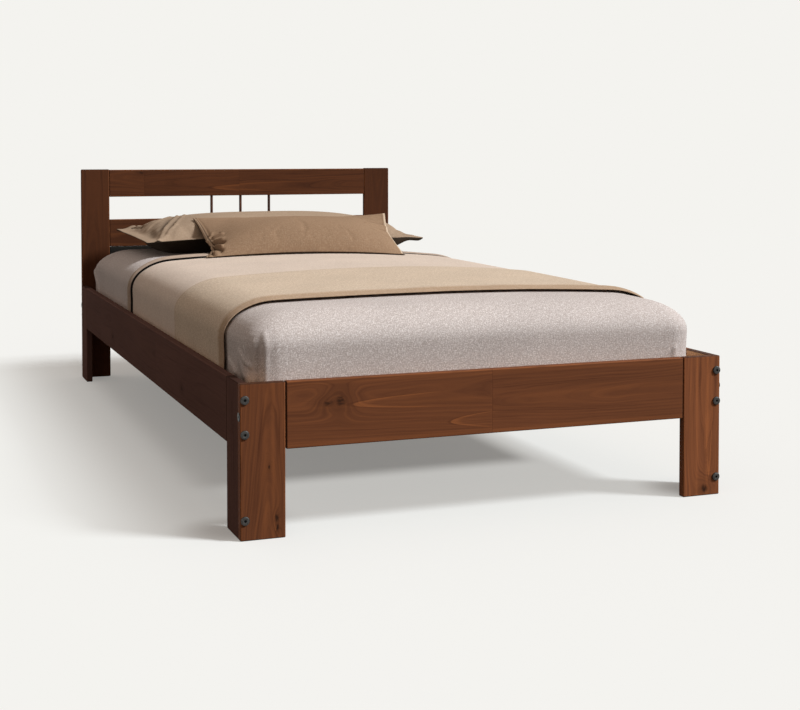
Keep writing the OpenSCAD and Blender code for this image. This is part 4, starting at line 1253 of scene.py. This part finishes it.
def swollen(piece, pins, slack):
    """Lets the fabric of a padded piece swell and wrinkle, each point by PAD_REACH at most."""
    scene = bpy.context.scene
    group = piece.vertex_groups.new(name="held")
    for index, pin in enumerate(pins):
        group.add([index], pin, "REPLACE")
    modifier = piece.modifiers.new("swell", "CLOTH")
    fabric = {"quality": 6, "mass": 0.25, "tension_stiffness": 20, "compression_stiffness": 12,
              "shear_stiffness": 6, "bending_stiffness": 0.15, "air_damping": 2,
              "use_pressure": True, "uniform_pressure_force": PAD_PRESSURE, "shrink_min": -slack,
              "vertex_group_mass": "held", "pin_stiffness": 1}
    for name, value in fabric.items():
        setattr(modifier.settings, name, value)
    modifier.settings.effector_weights.gravity = 0
    modifier.collision_settings.use_collision = False
    modifier.point_cache.frame_start = 1
    modifier.point_cache.frame_end = PAD_FRAMES
    for number in range(1, PAD_FRAMES + 1):
        scene.frame_set(number)
    depsgraph = bpy.context.evaluated_depsgraph_get()
    moved = [vert.co.copy() for vert in piece.evaluated_get(depsgraph).data.vertices]
    piece.modifiers.remove(modifier)
    piece.vertex_groups.remove(group)
    scene.frame_set(1)
    for vert, place in zip(piece.data.vertices, moved):
        shift = place - vert.co
        if shift.length > PAD_REACH:
            shift *= PAD_REACH / shift.length
        vert.co += shift
    piece.data.update()


def folded(piece, ridges, dips, in_cloth=False, left_shade=0):
    """Presses crisp folds into the upper fabric of a pad, after it has swollen, and shades the
    bottoms of the folds and its left end. The folds are in the bed's X and Y, or in the cloth's
    own metres."""
    smoother(piece)
    finished(piece)
    mesh = piece.data
    normals = [vert.normal.copy() for vert in mesh.vertices]
    for vert, normal, item in zip(mesh.vertices, normals, mesh.attributes["cloth"].data):
        u, v, upper = item.vector
        if upper < 0.5:
            continue
        x, y = (u, v) if in_cloth else vert.co.xy
        dip = creased(x, y, dips)
        vert.co += normal * (creased(x, y, ridges) + dip)
        light = upper * (1 - min(0.75, -dip / FOLD_DEPTH))
        item.vector = (u, v, light * (1 - left_shade * (1 - smooth_step(-0.27, -0.17, u))))
    mesh.update()


def rear_pillow():
    """The wide pillow at the head with its flat flange."""
    bm, pins = padded_grid(PILLOW_CELLS, (PILLOW_W, PILLOW_L), pillow_top, pillow_under,
                           lambda u, v: smooth_step(0.8, 0.98, 1 - pillow_fill(u, v)))
    finish = cloth("pillow_cloth", (164, 139, 115), (174, 149, 126), (192, 169, 146),
                   heather=0.35, coarse=0.0032, nap=0.08)
    piece = shown("rear_pillow_cloth", bm, [finish], "rear_pillow")
    swollen(piece, pins, PILLOW_SLACK)
    folded(piece, PILLOW_RIDGES, PILLOW_DIPS, left_shade=PILLOW_LEFT_SHADE)


def front_cushion():
    """The cushion that leans on the rear pillow."""
    bm, pins = padded_grid(CUSHION_CELLS, (CUSHION_W, CUSHION_L), cushion_top, cushion_under,
                           lambda u, v: smooth_step(0.86, 1.0, max(abs(u), abs(v))))
    # Painted light on the cushion's seams: a dark painted shade line just inside the left seam, and
    # pale painted highlights along the left seam and, brighter, the right seam
    pale = srgb(214, 190, 164)
    finish = cloth("cushion_cloth", (144, 115, 90), (155, 126, 100), (176, 148, 121),
                   heather=0.45, coarse=0.0028, nap=0.12,
                   bands=((-0.2785, -0.2755, 0, srgb(52, 38, 28), 0.7),
                          (-0.29, -0.279, 0, pale, 0.25), (0.278, 0.29, 0, pale, 0.8)))
    piece = shown("front_cushion_cloth", bm, [finish], "front_cushion")
    swollen(piece, pins, CUSHION_SLACK)
    folded(piece, CUSHION_RIDGES, CUSHION_DIPS, in_cloth=True)


def camera():
    """The viewpoint low at the left of the foot."""
    data = bpy.data.cameras.new("camera")
    data.sensor_width = 36
    data.lens = LENS
    data.shift_y = LENS_SHIFT
    data.clip_end = 200
    made = linked("camera", data)
    made.location = VIEWPOINT
    made.rotation_euler = VIEW_ANGLES
    bpy.context.scene.camera = made


def seen_rays(tree):
    """1 where a ray comes straight from the camera, off gloss or through glass, else 0."""
    path = tree.nodes.new("ShaderNodeLightPath")
    share = path.outputs["Is Camera Ray"]
    for name in ("Is Glossy Ray", "Is Transmission Ray"):
        most = tree.nodes.new("ShaderNodeMath")
        most.operation = "MAXIMUM"
        tree.links.new(share, most.inputs[0])
        tree.links.new(path.outputs[name], most.inputs[1])
        share = most.outputs[0]
    return share


def pale_world():
    """A pale studio: the background as seen, and a plain soft light on the bed."""
    world = bpy.data.worlds.new("studio")
    world.use_nodes = True
    bpy.context.scene.world = world
    tree = world.node_tree
    background = tree.nodes["Background"]
    background.inputs["Color"].default_value = AMBIENT_TINT
    background.inputs["Strength"].default_value = AMBIENT
    seen = tree.nodes.new("ShaderNodeBackground")
    seen.inputs["Color"].default_value = BACKGROUND
    mix = tree.nodes.new("ShaderNodeMixShader")
    for number, socket in enumerate((seen_rays(tree), background.outputs[0], seen.outputs[0])):
        tree.links.new(socket, mix.inputs[number])
    tree.links.new(mix.outputs[0], tree.nodes["World Output"].inputs[0])


def key_light():
    """One soft light from the right of the foot."""
    data = bpy.data.lights.new("key", "SUN")
    data.energy = KEY_STRENGTH * math.pi * KEY_TOWARD.length
    data.color = KEY_TINT
    data.angle = KEY_ANGLE
    linked("key", data).rotation_euler = KEY_TOWARD.to_track_quat("Z", "Y").to_euler()


def floor():
    """A pale floor that keeps the bed's shadow. Its share of glow, set by place, paints the shadow
    deeper right under the bed and round the foot legs and lighter far aside; it fades into the
    background far away."""
    bm = bmesh.new()
    bmesh.ops.create_grid(bm, x_segments=1, y_segments=1, size=FLOOR_HALF)
    made = linked("floor", meshed("floor", bm))
    f = Finish("pale_floor")
    far = f.rise(f.length(f.place()), *FLOOR_FADE)
    x, y, _ = f.split(f.place())
    share = f.rise(x, -0.9, -0.55, SHADE_FAR_ASIDE, SHADE_ASIDE)
    share = f.node("Mix", {0: f.rise(x, -0.5, -0.35), 2: share, 3: SHADE_IN_FRONT})
    deep = f.rise(x, -0.57, -0.46) * f.rise(x, 0.25, 0.33, 1, 0) * f.rise(y, -0.65, -0.53)
    share = f.node("Mix", {0: deep, 2: share, 3: SHADE_UNDER_BED})
    for leg_x, leg_y in FOOT_LEG_PLACES:
        to_leg = f.length(f.join(x - leg_x, y - leg_y, 0))
        share = share * f.rise(to_leg, 0.02, 0.13, SHADE_AT_LEG, 1)
    bounce = f.node("BsdfDiffuse", {"Color": tuple(part * FLOOR_BOUNCE for part in BACKGROUND)})
    lit = f.node("BsdfDiffuse", {"Color": BACKGROUND})
    glow = f.node("Emission", {"Color": BACKGROUND, "Strength": 1})
    near = f.node("MixShader", {0: share, 1: lit, 2: glow})
    looked_at = f.node("MixShader", {0: far, 1: near, 2: glow})
    surface = f.node("MixShader", {0: Output(f, seen_rays(f.tree)), 1: bounce, 2: looked_at})
    f.feed(f.tree.nodes["Material Output"].inputs["Surface"], surface)
    f.tree.nodes.remove(f.shader)
    made.data.materials.append(f.material)


camera()
pale_world()
key_light()
floor()
bpy.context.scene.view_settings.view_transform = "Standard"

frame_boards()
carried_nodes()
bolts()
mattress()
fitted_sheet()
coverlet()
throw()
rear_pillow()
front_cushion()
